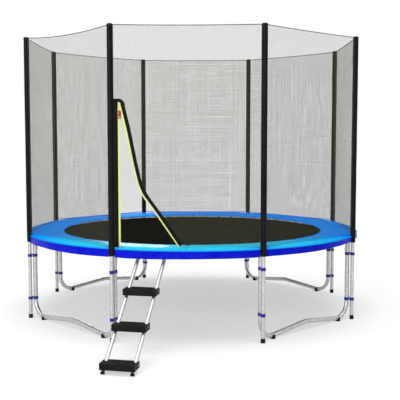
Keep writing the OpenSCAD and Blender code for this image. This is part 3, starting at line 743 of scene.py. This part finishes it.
# %% The webbing under its edge, with a loop for each ring
SPRINGS = 60
FIRST_SPRING = math.radians(1)
BAND_IN = 1.248
band_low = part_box("mat_band")[0].z
band_top = mat_low - 0.05 * MM
ring_middle = 1.296
ring_height = middle("mat_rings").z
LOOP_R = 2.9 * MM
LOOP_W = 18 * MM
LOOP_T = 1.0 * MM
circle = np.arange(240) * math.tau / 240

band_width = mat_ring - BAND_IN
band_middle = mat_ring - band_width / 2
band = swept(polar(band_middle, circle, (band_low + 1.2 * MM + band_top) / 2),
             strap_outline(band_width, band_top - band_low - 1.2 * MM), (0, 0, 1), loop=True)
bend = np.radians(np.linspace(-90, 90, 9))
facing = np.stack([np.cos(bend), 0 * bend, np.sin(bend)], axis=1)
loop_path = (ring_middle, 0, ring_height) + LOOP_R * facing
tails = [(mat_ring - 10 * MM, 0, band_low + 0.5 * MM), (mat_ring + 0.8 * MM, 0, loop_path[-1][2])]
webbing_loop = swept(np.vstack([tails[0], loop_path, tails[1]]), strap_outline(LOOP_W, LOOP_T),
                     np.vstack([facing[0], facing, facing[-1]]))
loops = grown(ring_tree, line_mesh([]), Count=SPRINGS, First_Angle=FIRST_SPRING,
              Piece=parked(webbing_loop), Material=webbing)
mat_band = as_piece("mat_webbing", joined([band, loops]), webbing, "mat",
                    ["mat_band"])

rows = [polar(radius, np.append(circle, math.tau), band_low + 0.1 * MM)
        for radius in (BAND_IN + 5 * MM, mat_ring - 8 * MM)]
seams = grown(row_tree, line_mesh(rows), Facing=(0, 0, -1), Spacing=8 * MM, Piece=long_stitch,
              Material=black_thread)
mat_seams = as_piece("mat_stitching", seams, black_thread, "mat")
print("mat:", len(mat.data.polygons), "faces, stitches:", len(seams.polygons) // 20)

# %% [markdown]
# ## Springs
# Each of the sixty springs is one unbroken wire: a short hook that drops into a ring, a run up
# to the coil, thirty open turns, and a hook that drops into a slot in the frame. Under tension
# the turns stand a little apart. A spring joins the mat to the frame, so each is a piece of its
# own, on neither body.

# %% One spring's wire, lying along x
WIRE = 3.2 * MM
COIL_R = 9.4 * MM
TURNS = 30
COIL_START, COIL_END = 1.330, 1.462
HOOK_IN, HOOK_OUT = 1.3132, 1.4885
HOOK_LIFT = 4 * MM
FRAME_END, MAT_END = 1.484, 1.318
spring_height = mat_top - 4 * MM


def spring_line():
    """The middle of the wire, from the hook in the mat's ring to the hook in the frame's slot."""
    hook_in = [(HOOK_IN, 0, -3 * MM), (HOOK_IN, 0, 2 * MM), (HOOK_IN + 2 * MM, 0, HOOK_LIFT),
               (COIL_START - 8 * MM, 0, HOOK_LIFT)]
    around = np.linspace(0, TURNS * math.tau, TURNS * 10 + 1)
    grow = np.clip(np.minimum(around, around[-1] - around) / math.pi, 0, 1)
    from_hook = HOOK_LIFT * (1 - grow) * (around < math.pi)
    coil = np.stack([COIL_START + (COIL_END - COIL_START) * around / around[-1],
                     COIL_R * np.sin(around) * grow,
                     COIL_R * np.cos(around) * grow + from_hook], axis=1)
    hook_out = [(COIL_END + 9 * MM, 0, 0), (HOOK_OUT - 2 * MM, 0, 0), (HOOK_OUT, 0, -2 * MM),
                (HOOK_OUT, 0, -6 * MM)]
    return np.vstack([hook_in, coil, hook_out])


def wire_mesh(line, radius, sides):
    """A round wire along a line that turns any way: its section is carried on without a twist."""
    ahead = np.gradient(line, axis=0)
    ahead /= np.linalg.norm(ahead, axis=1, keepdims=True)
    lifts = [np.array((0.0, 1.0, 0.0))]
    for direction in ahead:
        lift = lifts[-1] - direction * np.dot(lifts[-1], direction)
        lifts.append(lift / np.linalg.norm(lift))
    return swept(line, round_outline(radius, sides), np.array(lifts[1:]))


wire = wire_mesh(spring_line(), WIRE / 2, 5)
wire_length = distances(spring_line())[-1]
print("one spring:", len(wire.polygons), "faces,", round(wire_length, 2), "m of wire")

# %% Sixty springs
for k in range(SPRINGS):
    angle = FIRST_SPRING + k * math.tau / SPRINGS
    mesh = wire.copy()
    mesh.transform(Matrix.Translation((0, 0, spring_height)) @ Matrix.Rotation(angle, 4, "Z"))
    stands_for = ["springs"] if k == 0 else []
    spring = as_piece(f"spring_{k + 1:02}", mesh, spring_zinc, None, stands_for)
    ends = [Vector((r * math.cos(angle), r * math.sin(angle), spring_height))
            for r in (FRAME_END, MAT_END)]
    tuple(ends[0])
    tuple(ends[1])
    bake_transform(spring)
print("springs:", SPRINGS)

# %% [markdown]
# ## Foam sleeves
# Each pole is slipped into a tube of closed-cell foam with a coated cover. The cover is a
# little loose: it wanders by less than a millimetre, has a sewn seam on the side of the mat, a
# few soft creases, and is gathered at both ends. All of that is a radius that varies with
# height and angle, so a grid over the two makes the shape.

# %% Eight sleeves
SLEEVE_BORE = 16.3 * MM
SLEEVE_ROWS = 110
SLEEVE_SIDES = 28
WANDER = 0.16 * MM
CREASE = 0.9 * MM
SEAM_RIDGE = 0.9 * MM
SEAM_SPREAD = 0.012
GATHER = 2.6 * MM
GATHER_LENGTH = 14 * MM


def sleeve_radius(height, angle, chance):
    """The cover's radius for heights from the lower end, and angles from the seam."""
    length = sleeve_top - sleeve_low
    ends = np.minimum(height, length - height)
    radius = SLEEVE_R - 0.5 * MM - GATHER * np.clip(1 - ends / GATHER_LENGTH, 0, 1) ** 2
    for _ in range(5):
        wave, phase, turn = chance.uniform(6, 22), chance.uniform(0, 6), chance.choice([1, 2, 3])
        radius = radius + WANDER * np.sin(wave * height + phase) * np.cos(turn * angle + phase)
    for _ in range(7):
        place, middle_angle = chance.uniform(0.1, length - 0.1), chance.uniform(0, 6)
        tilt = chance.uniform(-8, 8) * MM
        off = (height - place - tilt * np.cos(angle)) / (4 * MM)
        radius = radius - CREASE * np.exp(-off ** 2) * (0.5 + 0.5 * np.cos(angle - middle_angle))
    seam = np.exp(-((angle + math.pi) % math.tau - math.pi) ** 2 / SEAM_SPREAD)
    return radius + SEAM_RIDGE * seam


for i, (place, pole_angle) in enumerate(zip(pole_places, pole_angles), start=1):
    chance = random.Random(100 + i)
    height = np.linspace(0, sleeve_top - sleeve_low, SLEEVE_ROWS)
    height = np.concatenate([[0, 4 * MM, 8 * MM], height[1:-1],
                             [height[-1] - 8 * MM, height[-1] - 4 * MM, height[-1]]])
    height = np.unique(height.round(5))
    around = np.arange(SLEEVE_SIDES) * math.tau / SLEEVE_SIDES
    radius = sleeve_radius(height[:, None], around[None, :], chance)
    bore = np.full((2, SLEEVE_SIDES), SLEEVE_BORE)
    radius = np.vstack([radius, bore])
    level = sleeve_low + np.append(height, [height[-1], 0])
    points = polar(radius, around[None, :] + pole_angle + math.pi, level[:, None])
    points[..., :2] += place.xy
    girth = np.linspace(0, math.tau * SLEEVE_R, SLEEVE_SIDES + 1)
    uv = np.stack(np.meshgrid(girth, np.append(level, level[-1] - 10 * MM)), axis=-1)
    sleeve = closed(quad_grid(points, uv, around=True, along=True))
    piece = as_piece(f"sleeve_{i}", sleeve, sleeve_cover, "frame",
                     [f"foam_sleeve_{i}"])
print("sleeves:", SIDES, "of", len(sleeve.polygons), "faces")

# %% [markdown]
# ## Padded edge
# The pad over the springs is eight lengths of foam in one coated cover, sewn down between them.
# A sewn cover is a little longer than the foam it holds, and that is why it puckers beside each
# seam. So an eighth of the pad is modelled as a closed shell that is slightly too thin, then
# Blender's cloth simulation swells and stretches its top while the seams and the underside are
# pinned. Two different eighths, plain and mirrored, make the ring.

# %% The shape of one eighth before it swells
PAD_COLUMNS = 176
PAD_ROWS = 54
UNDER_ROWS = 10
NOTCH_R = 25.5 * MM
NOTCH_BLEND = 70 * MM
SEAM_DEPTH = 0.78
SEAM_WIDTH = 26 * MM
PAD_MIDDLE = 1.38
PAD_GIRTH = 0.72
pad_thickness = pad_high - pad_low


def pad_edge(angle):
    """Radius of the pad's outer edge at an angle from the pole, which it goes round."""
    off = pole_ring * np.sin(angle)
    depth = np.sqrt(np.clip(NOTCH_R ** 2 - off ** 2, 0, None))
    beside_pole = np.minimum(pole_ring * np.cos(angle) - depth, pad_out)
    return np.where(np.abs(off) < NOTCH_R, beside_pole, pad_out)


def pad_crown(share):
    """Height of the pad's top over its width, as a share: it rises slowly from the inner edge and
    falls off fast at the outer one."""
    off = 2 * share - 1
    return 0.2 + 0.8 * np.where(off < 0, 1 - np.abs(off) ** 1.7, (1 - np.abs(off) ** 3) ** 0.6)


def pad_section(fill):
    """Points of the eighth: columns round the ring, and rows over the top and back below."""
    columns = np.linspace(-TURN / 2, TURN / 2, PAD_COLUMNS + 1)
    near = np.radians([-0.95, -0.85, -0.7, -0.5, -0.25, 0, 0.25, 0.5, 0.7, 0.85, 0.95])
    columns = np.sort(np.concatenate([columns[np.abs(columns) > math.radians(1.05)], near]))
    across = np.linspace(0, 1, PAD_ROWS)
    across = np.concatenate([across, np.linspace(1, 0, UNDER_ROWS + 2)])
    lift = np.concatenate([pad_crown(across[:PAD_ROWS]), np.zeros(UNDER_ROWS + 2)])
    radius = PAD_IN + across[None, :] * (pad_out - PAD_IN)
    inset = (pad_out - pad_edge(columns))[:, None]
    share = np.clip((radius - pad_out + NOTCH_BLEND) / NOTCH_BLEND, 0, 1)
    radius = radius - inset * share * share * (3 - 2 * share)
    seam = np.clip((TURN / 2 - np.abs(columns)) * PAD_MIDDLE / SEAM_WIDTH, 0, 1)[:, None]
    drawn = 1 - SEAM_DEPTH * (1 - seam) ** 2
    height = pad_low + pad_thickness * lift[None, :] * drawn * fill
    return columns, polar(radius, columns[:, None], height)


# %% Swell it with the cloth simulation
SWELL = dict(pressure=4.0, growth=-0.035, frames=20, most=6 * MM, noise=0.5 * MM)


def swollen(points, seed):
    """The section's points after its cover has swollen over the foam."""
    columns, rows = points.shape[:2]
    chance = np.random.default_rng(seed)
    start = points.copy()
    lumps = chance.uniform(-1, 1, (columns - 4, PAD_ROWS - 4))
    start[2:-2, 2:PAD_ROWS - 2, 2] += lumps * SWELL["noise"]
    shell = closed(quad_grid(start, np.zeros((columns, rows + 1, 2)), around=True))
    holder = bpy.data.objects.new("swelling", shell)
    scene.collection.objects.link(holder)
    pinned = holder.vertex_groups.new(name="pinned")
    index = np.arange(columns * rows).reshape(columns, rows)
    held = np.concatenate([index[:, PAD_ROWS - 1:].ravel(), index[:, 0], index[0], index[-1]])
    pinned.add(np.unique(held).tolist(), 1.0, "REPLACE")
    cloth = holder.modifiers.new("cloth", "CLOTH")
    cloth.settings.vertex_group_mass = "pinned"
    cloth.settings.use_pressure = True
    cloth.settings.uniform_pressure_force = SWELL["pressure"]
    cloth.settings.shrink_min = SWELL["growth"]
    cloth.settings.effector_weights.gravity = 0
    cloth.settings.quality = 5
    cloth.point_cache.frame_start, cloth.point_cache.frame_end = 1, SWELL["frames"]
    for frame_number in range(1, SWELL["frames"] + 1):
        scene.frame_set(frame_number)
    seen = holder.evaluated_get(bpy.context.evaluated_depsgraph_get()).to_mesh()
    moved = np.empty(len(seen.vertices) * 3, np.float32)
    seen.vertices.foreach_get("co", moved)
    bpy.data.objects.remove(holder)
    scene.frame_set(1)
    move = moved.reshape(points.shape) - points
    size = np.linalg.norm(move, axis=-1, keepdims=True)
    return points + move * np.minimum(1, SWELL["most"] / np.maximum(size, 1e-9))


columns, flat_section = pad_section(0.9)
sections = [swollen(flat_section, seed) for seed in (3, 8)]
rise = (sections[0] - flat_section)[..., 2].max()
print("pad section:", flat_section.shape, "rises by", round(rise / MM, 1), "mm")

# %% Eight sections in a ring
def turned(points, angle):
    c, s = math.cos(angle), math.sin(angle)
    return points @ np.array([[c, s, 0], [-s, c, 0], [0, 0, 1]])


parts = []
for k, pole_angle in enumerate(pole_angles):
    section = sections[k // 2 % 2]
    if k % 2:
        section = section[::-1] * (1, -1, 1)
    parts.append(turned(section, pole_angle)[:-1])
ring = np.concatenate(parts)
run = np.linspace(0, math.tau * PAD_MIDDLE, len(ring) + 1)
girth = np.append(distances(ring[len(columns) // 4]), PAD_GIRTH)
uv = np.stack(np.meshgrid(girth, run), axis=-1)
pad = as_piece("edge_pad", closed(quad_grid(ring, uv, around=True, along=True)), pad_cover,
               "frame", ["pad"])
print("pad:", len(pad.data.polygons), "faces")

# %% [markdown]
# The seams between the lengths of foam are sewn through with blue thread, and a piping closes
# the pad's outer edge, where the skirt is sewn on. The piping stops at each pole.

# %% Seam stitches and piping
seam_line = sections[0][0][2:PAD_ROWS - 2] + (0, 0, 0.4 * MM)
seam_lines = [turned(seam_line, pole_angle) for pole_angle in pole_angles]
stitches = grown(row_tree, line_mesh(seam_lines), Facing=(0, 0, 1), Spacing=7 * MM,
                 Piece=long_stitch, Material=blue_thread)
as_piece("pad_stitching", stitches, blue_thread)

PIPING_R = 3 * MM
NOTCH_TURN = (NOTCH_R + 1 * MM) / pole_ring
piping_ring = skirt_out = pad_out + 1.6 * MM
arcs = [np.linspace(angle + NOTCH_TURN, angle + TURN - NOTCH_TURN, 61) for angle in pole_angles]
pipes = [swept(polar(piping_ring, arc, skirt_top - 0.5 * MM), round_outline(PIPING_R, 8),
               (0, 0, 1)) for arc in arcs]
# the piping takes the pad's finish, painted sheen included
as_piece("pad_piping", joined(pipes), pad_cover)
print("pad seams:", len(seam_lines), "piping runs:", len(pipes))

# %% [markdown]
# ## Skirt
# The skirt is a band of the same cloth that hangs from the piping and hides the ring. It is
# sewn in eight lengths between the poles, hemmed below, and hangs in shallow waves that grow
# towards its free edge. It is cut a little shallower at the right. Two skins a millimetre apart
# give it a thickness that both sides show.

# %% Eight lengths of skirt
SKIRT_COLUMNS = 200
SKIRT_ROWS = 12
SKIRT_WAVE = 2.4 * MM
SKIRT_DROOP = 2.5 * MM
SKIRT_T = 1.0 * MM
HEM_HEIGHT = 12 * MM
SKIRT_GIRTH = 0.14
SIDE_RISE = 22 * MM


def skirt_length(arc, chance):
    """Both skins of one length: rows go down the outside and up the inside."""
    down = np.linspace(0, 1, SKIRT_ROWS)
    waves = np.zeros_like(arc)
    for _ in range(6):
        waves += np.sin(chance.uniform(16, 62) * (arc - arc[0]) + chance.uniform(0, 6)) / 3
    ends = np.clip(np.minimum(arc - arc[0], arc[-1] - arc) / 0.05, 0, 1)
    droop = SKIRT_DROOP * np.sin(9 * (arc - arc[0]) + chance.uniform(0, 6)) * ends
    droop -= SIDE_RISE * np.clip(np.cos(arc), 0, 1) ** 1.5
    lean = SKIRT_WAVE * np.clip(waves, -1.2, 1.2)[:, None] * ends[:, None] * down[None, :] ** 1.3
    low = skirt_low + 1.6 * MM
    height = skirt_top - down[None, :] * (skirt_top - low + droop[:, None])
    hem = np.where(down > 1 - HEM_HEIGHT / (skirt_top - low), 0.5 * MM, 0.0)
    outside = polar(skirt_out + lean + hem + SKIRT_T / 2, arc[:, None], height)
    inside = polar(skirt_out + lean - hem - SKIRT_T / 2, arc[:, None], height)
    return np.concatenate([outside, inside[:, ::-1]], axis=1)


lengths, hem_lines = [], []
for k, angle in enumerate(pole_angles):
    arc = np.linspace(angle + NOTCH_TURN, angle + TURN - NOTCH_TURN, SKIRT_COLUMNS)
    points = skirt_length(arc, random.Random(40 + k))
    hem_lines.append(points[4:-4, SKIRT_ROWS - 3] + polar(0.3 * MM, arc[4:-4], 0))
    fall = np.append(np.linspace(0, 2 * (skirt_top - skirt_low), 2 * SKIRT_ROWS), SKIRT_GIRTH)
    uv = np.stack(np.meshgrid(fall, arc * skirt_out), axis=-1)
    lengths.append(closed(quad_grid(points, uv, around=True)))
skirt = as_piece("pad_skirt_cloth", joined(lengths), skirt_cover, "frame",
                 ["pad_skirt"])
stitches = [grown(row_tree, line_mesh([line]), Facing=tuple(polar(1.0, angle + TURN / 2, 0)),
                  Spacing=9 * MM, Piece=long_stitch, Material=blue_thread)
            for line, angle in zip(hem_lines, pole_angles)]
skirt_seam = as_piece("skirt_stitching", joined(stitches), blue_thread)
around = SIDES * (TURN - 2 * NOTCH_TURN) * skirt_out
print("skirt:", len(skirt.data.polygons), "faces, cut", round(around, 2), "m long")

# %% [markdown]
# ## Safety net
# The net hangs in eight flat sides between the poles, from a cord at the top to a narrow
# binding just above the pad. Real netting is a knit of fine yarn; what the eye gets from it is
# an even grey veil that things show through. Here it is an open weave: flat yarns of 0.7 mm
# about every 5 mm, both ways, which covers as large a share of what lies behind as the real knit
# does. Every yarn follows the same softly billowing surface, so that they meet where they cross,
# but no two gaps are quite the same.

# %% The surface of a side
PITCH = 5 * MM
YARN_W = 0.70 * MM
YARN_T = 0.18 * MM
YARN_STRAY = 1.1 * MM
BILLOW = 9 * MM
SLACK = [5, 4, 6, 5, 4, 6, 5, 27]  # in mm, for each side from the door's on


def sag(side, x):
    """How far the top cord hangs below its ends at a place along a side."""
    return SLACK[side] * MM * (1 - (x / NET_HALF) ** 2)


def on_side(side, x, z):
    """Points of a side's surface; x runs along the side and z from the net's foot to its top."""
    chance = random.Random(60 + side)
    lean = chance.uniform(-1, 1)
    phase = chance.uniform(0, 6)
    x, z = np.broadcast_arrays(np.asarray(x, float), np.asarray(z, float))
    up = (z - net_low) / (net_top - net_low)
    wide = 1 - (x / NET_HALF) ** 2
    wave = 0.6 * lean + 0.5 * np.sin(3 * up + 2 * x + phase)
    billow = BILLOW * wide * np.sin(math.pi * np.clip(up, 0, 1)) * wave
    local = np.stack([x, billow, z - up * sag(side, x)], axis=-1)
    return turned(local - (0, side_out, 0), side * TURN)


def outwards(side):
    """The direction that a side of the net faces."""
    return turned(np.array((0.0, -1.0, 0.0)), side * TURN)


def yarns(side, cuts):
    """The middles of a side's yarns, of six points each. cuts gives each yarn's ends."""
    chance = np.random.default_rng(80 + side)
    lines = []
    for way, first, last in (("up", -NET_HALF, NET_HALF), ("across", net_low, net_top)):
        for place in np.arange(first + 2 * MM, last - 2 * MM, PITCH):
            for low, high in cuts(way, place):
                stray = chance.uniform(-1, 1) * YARN_STRAY + chance.uniform(-0.8, 0.8, 6) * MM
                off, along = place + stray, np.linspace(low, high, 6)
                lines.append(on_side(side, *((off, along) if way == "up" else (along, off))))
    return lines


def whole_side(way, place):
    return [(net_low, net_top)] if way == "up" else [(-NET_HALF, NET_HALF)]


def knit(side, cuts):
    return grown(yarn_tree, line_mesh(yarns(side, cuts)), Facing=tuple(outwards(side)),
                 Width=YARN_W, Thickness=YARN_T, Material=net_yarn)


walls = joined([knit(side, whole_side) for side in range(1, SIDES)])
walls = as_piece("net_walls_knit", walls, net_yarn, "frame", ["net_walls"])
print("net walls:", len(walls.data.polygons), "faces")

# %% Cord, foot binding and edge welts
CORD_R = 2.8 * MM
WELT_R = 1.4 * MM
BINDING_H = 8 * MM


def strip(side, start, end, low, high, outline):
    """A strap or cord on a side's surface, from one place to another."""
    points = on_side(side, np.linspace(start, end, 25), np.linspace(low, high, 25))
    return swept(points, outline, outwards(side))


cords = [strip(side, -NET_HALF, NET_HALF, net_top, net_top, round_outline(CORD_R, 8))
         for side in range(SIDES)]
as_piece("top_cord", joined(cords), cord_braid, "frame", ["net_cord"])
welts = [strip(side, edge, edge, net_low, net_top, round_outline(WELT_R, 6))
         for side in range(SIDES) for edge in (-NET_HALF - 0.5 * MM, NET_HALF + 0.5 * MM)]
net_welts = as_piece("net_edge_welts", joined(welts), black_thread)

# %% [markdown]
# ## Door
# The door is a slit in the side over the ladder. Its fixed edge runs down beside the pole: a
# black band, then one half of the zip on a yellow tape. The other edge is loose and hangs aside
# in a slack curve: yellow tape with the zip's other half, then a black hem, then the net. A
# short band bridges both at the top, and a red slider waits there.

# %% Lines of the door
TOP_BAND_H = 31 * MM
slit_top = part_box("door_hem_fixed")[1].z - TOP_BAND_H
TAPE_W = 16 * MM
FIXED_TAPE_W = 14 * MM
FIXED_W = 33 * MM
SHUT_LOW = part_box("zip_slider")[1].z - 6 * MM
HEM_W = 30 * MM
loose_edge = smooth_line([(-0.530, 1.868), (-0.480, 1.662), (-0.412, 1.338), (-0.358, 1.176),
                          (-0.211, 0.966), (-0.0685, 0.7575)], 60)


def edge_x(z):
    return float(np.interp(z, loose_edge[::-1, 1], loose_edge[::-1, 0]))


def edge_z(x):
    return float(np.interp(x, loose_edge[:, 0], loose_edge[:, 1]))


def beside_door(way, place):
    """Ends of the yarns on the door's side: whole above the slit, and right of the loose edge."""
    above = slit_top + 4 * MM
    if way == "across":
        return [(-NET_HALF, NET_HALF)] if place > above else [(edge_x(place) + TAPE_W, NET_HALF)]
    low = above if place < loose_edge[0, 0] else edge_z(place - TAPE_W)
    return [(max(low, net_low), net_top)]


door_net = as_piece("net_door_knit", knit(0, beside_door), net_yarn, "frame",
                    ["net_door"])
print("door net:", len(door_net.data.polygons), "faces")

# %% Bands and tapes of the door
def before_net(line, out):
    """Points along a line of (x, z) on the door's side, out metres in front of the net."""
    return np.stack([line[:, 0], np.full(len(line), -side_out - out), line[:, 1]], axis=1)


def flat_strip(line, outline, out=0.0, spread=1.0):
    return swept(before_net(line, out), outline, (0, -1, 0), spread=spread)


def level_line(x, low, high, count=12):
    return np.stack([np.full(count, x), np.linspace(high, low, count)], axis=1)


band_x = -NET_HALF + FIXED_W / 2
tape_x = -NET_HALF + FIXED_W + FIXED_TAPE_W / 2
fixed_band = flat_strip(level_line(band_x, net_low - 2 * MM, slit_top + 10 * MM),
                        strap_outline(FIXED_W, 2.6 * MM))
fixed_tape = flat_strip(level_line(tape_x, net_low, slit_top - 3 * MM),
                        strap_outline(FIXED_TAPE_W, 1.6 * MM))
OUT = 3.1 * MM
# the loose edge turns away from the viewer towards its foot, so both strips narrow there
loose_tape = flat_strip(loose_edge, strap_outline(TAPE_W, 1.4 * MM, -TAPE_W / 2), OUT,
                        np.linspace(0.9, 0.5, len(loose_edge)))
# above the slider the zip is closed, and both tapes lie edge to edge
shut_part = flat_strip(level_line(tape_x + FIXED_TAPE_W / 2 + 4 * MM, SHUT_LOW, slit_top - 5 * MM),
                       strap_outline(FIXED_TAPE_W, 1.2 * MM), 1.5 * MM)
hem_outline = strap_outline(HEM_W, 1.6 * MM, -TAPE_W - HEM_W / 2 + 2 * MM)
loose_hem = flat_strip(loose_edge, hem_outline, OUT, np.linspace(1, 0.86, len(loose_edge)))
top_line = smooth_line([(-NET_HALF, 1.895), (-0.545, 1.895), (-0.517, 1.893), (-0.499, 1.876),
                        (-0.489, 1.850)], 30)
top_band = flat_strip(top_line, strap_outline(HEM_W - 4 * MM, 1.6 * MM), OUT + 0.2 * MM)
door_band = as_piece("door_fixed_band", joined([fixed_band, top_band]), webbing,
                     "frame", ["door_hem_fixed"])
door_tape = as_piece("door_fixed_tape", fixed_tape, zip_tape)
door_hem = as_piece("door_loose_hem", loose_hem, webbing, "frame",
                    ["door_hem_loose"])
loose_zip = as_piece("door_loose_tape", joined([loose_tape, shut_part]), zip_tape)
print("door strips:", door_band.name, door_tape.name, door_hem.name, loose_zip.name)

# %% Zip teeth
TOOTH_PITCH = 3.2 * MM
TOOTH_SIZE = (1.6 * MM, 4.5 * MM, 2.2 * MM)

tooth = bpy.data.meshes.new("tooth")
block = bmesh.new()
bmesh.ops.create_cube(block, size=1.0)
bmesh.ops.scale(block, vec=TOOTH_SIZE, verts=block.verts)
block.to_mesh(tooth)
block.free()
tooth = parked(tooth)


def teeth(line, out):
    return grown(row_tree, line_mesh([before_net(line, out)]), Facing=(0, -1, 0),
                 Spacing=TOOTH_PITCH, Piece=tooth, Material=teeth_plastic)


fixed_teeth = teeth(level_line(tape_x + FIXED_TAPE_W / 2, net_low + 4 * MM, slit_top - 8 * MM), 0)
loose_teeth = teeth(loose_edge - (0.5 * MM, 0), OUT)
zip_teeth = as_piece("zip_teeth", joined([fixed_teeth, loose_teeth]), teeth_plastic)
print("zip teeth:", len(zip_teeth.data.polygons) // 6)

# %% Foot binding of the net
binding_z = net_low + BINDING_H / 2 - 2 * MM
beside_slit = loose_edge[-1, 0] + TAPE_W + HEM_W
bindings = [strip(side, -NET_HALF if side else beside_slit, NET_HALF, binding_z, binding_z,
                  strap_outline(BINDING_H, 3.0 * MM)) for side in range(SIDES)]
# the binding takes the pad's finish, painted sheen included
foot_binding = as_piece("net_foot_binding", joined(bindings), pad_cover, "frame",
                        ["net_hem"])

# %% [markdown]
# The net is made as two pieces: seven whole sides in one length, and the side with the
# door. A net is mostly holes.

# %% Set the view transform and print the shown box
scene.view_settings.view_transform = "Standard"
shown_box = [list(corner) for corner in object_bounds()]
print("shown box:", [[round(v, 3) for v in corner] for corner in shown_box])
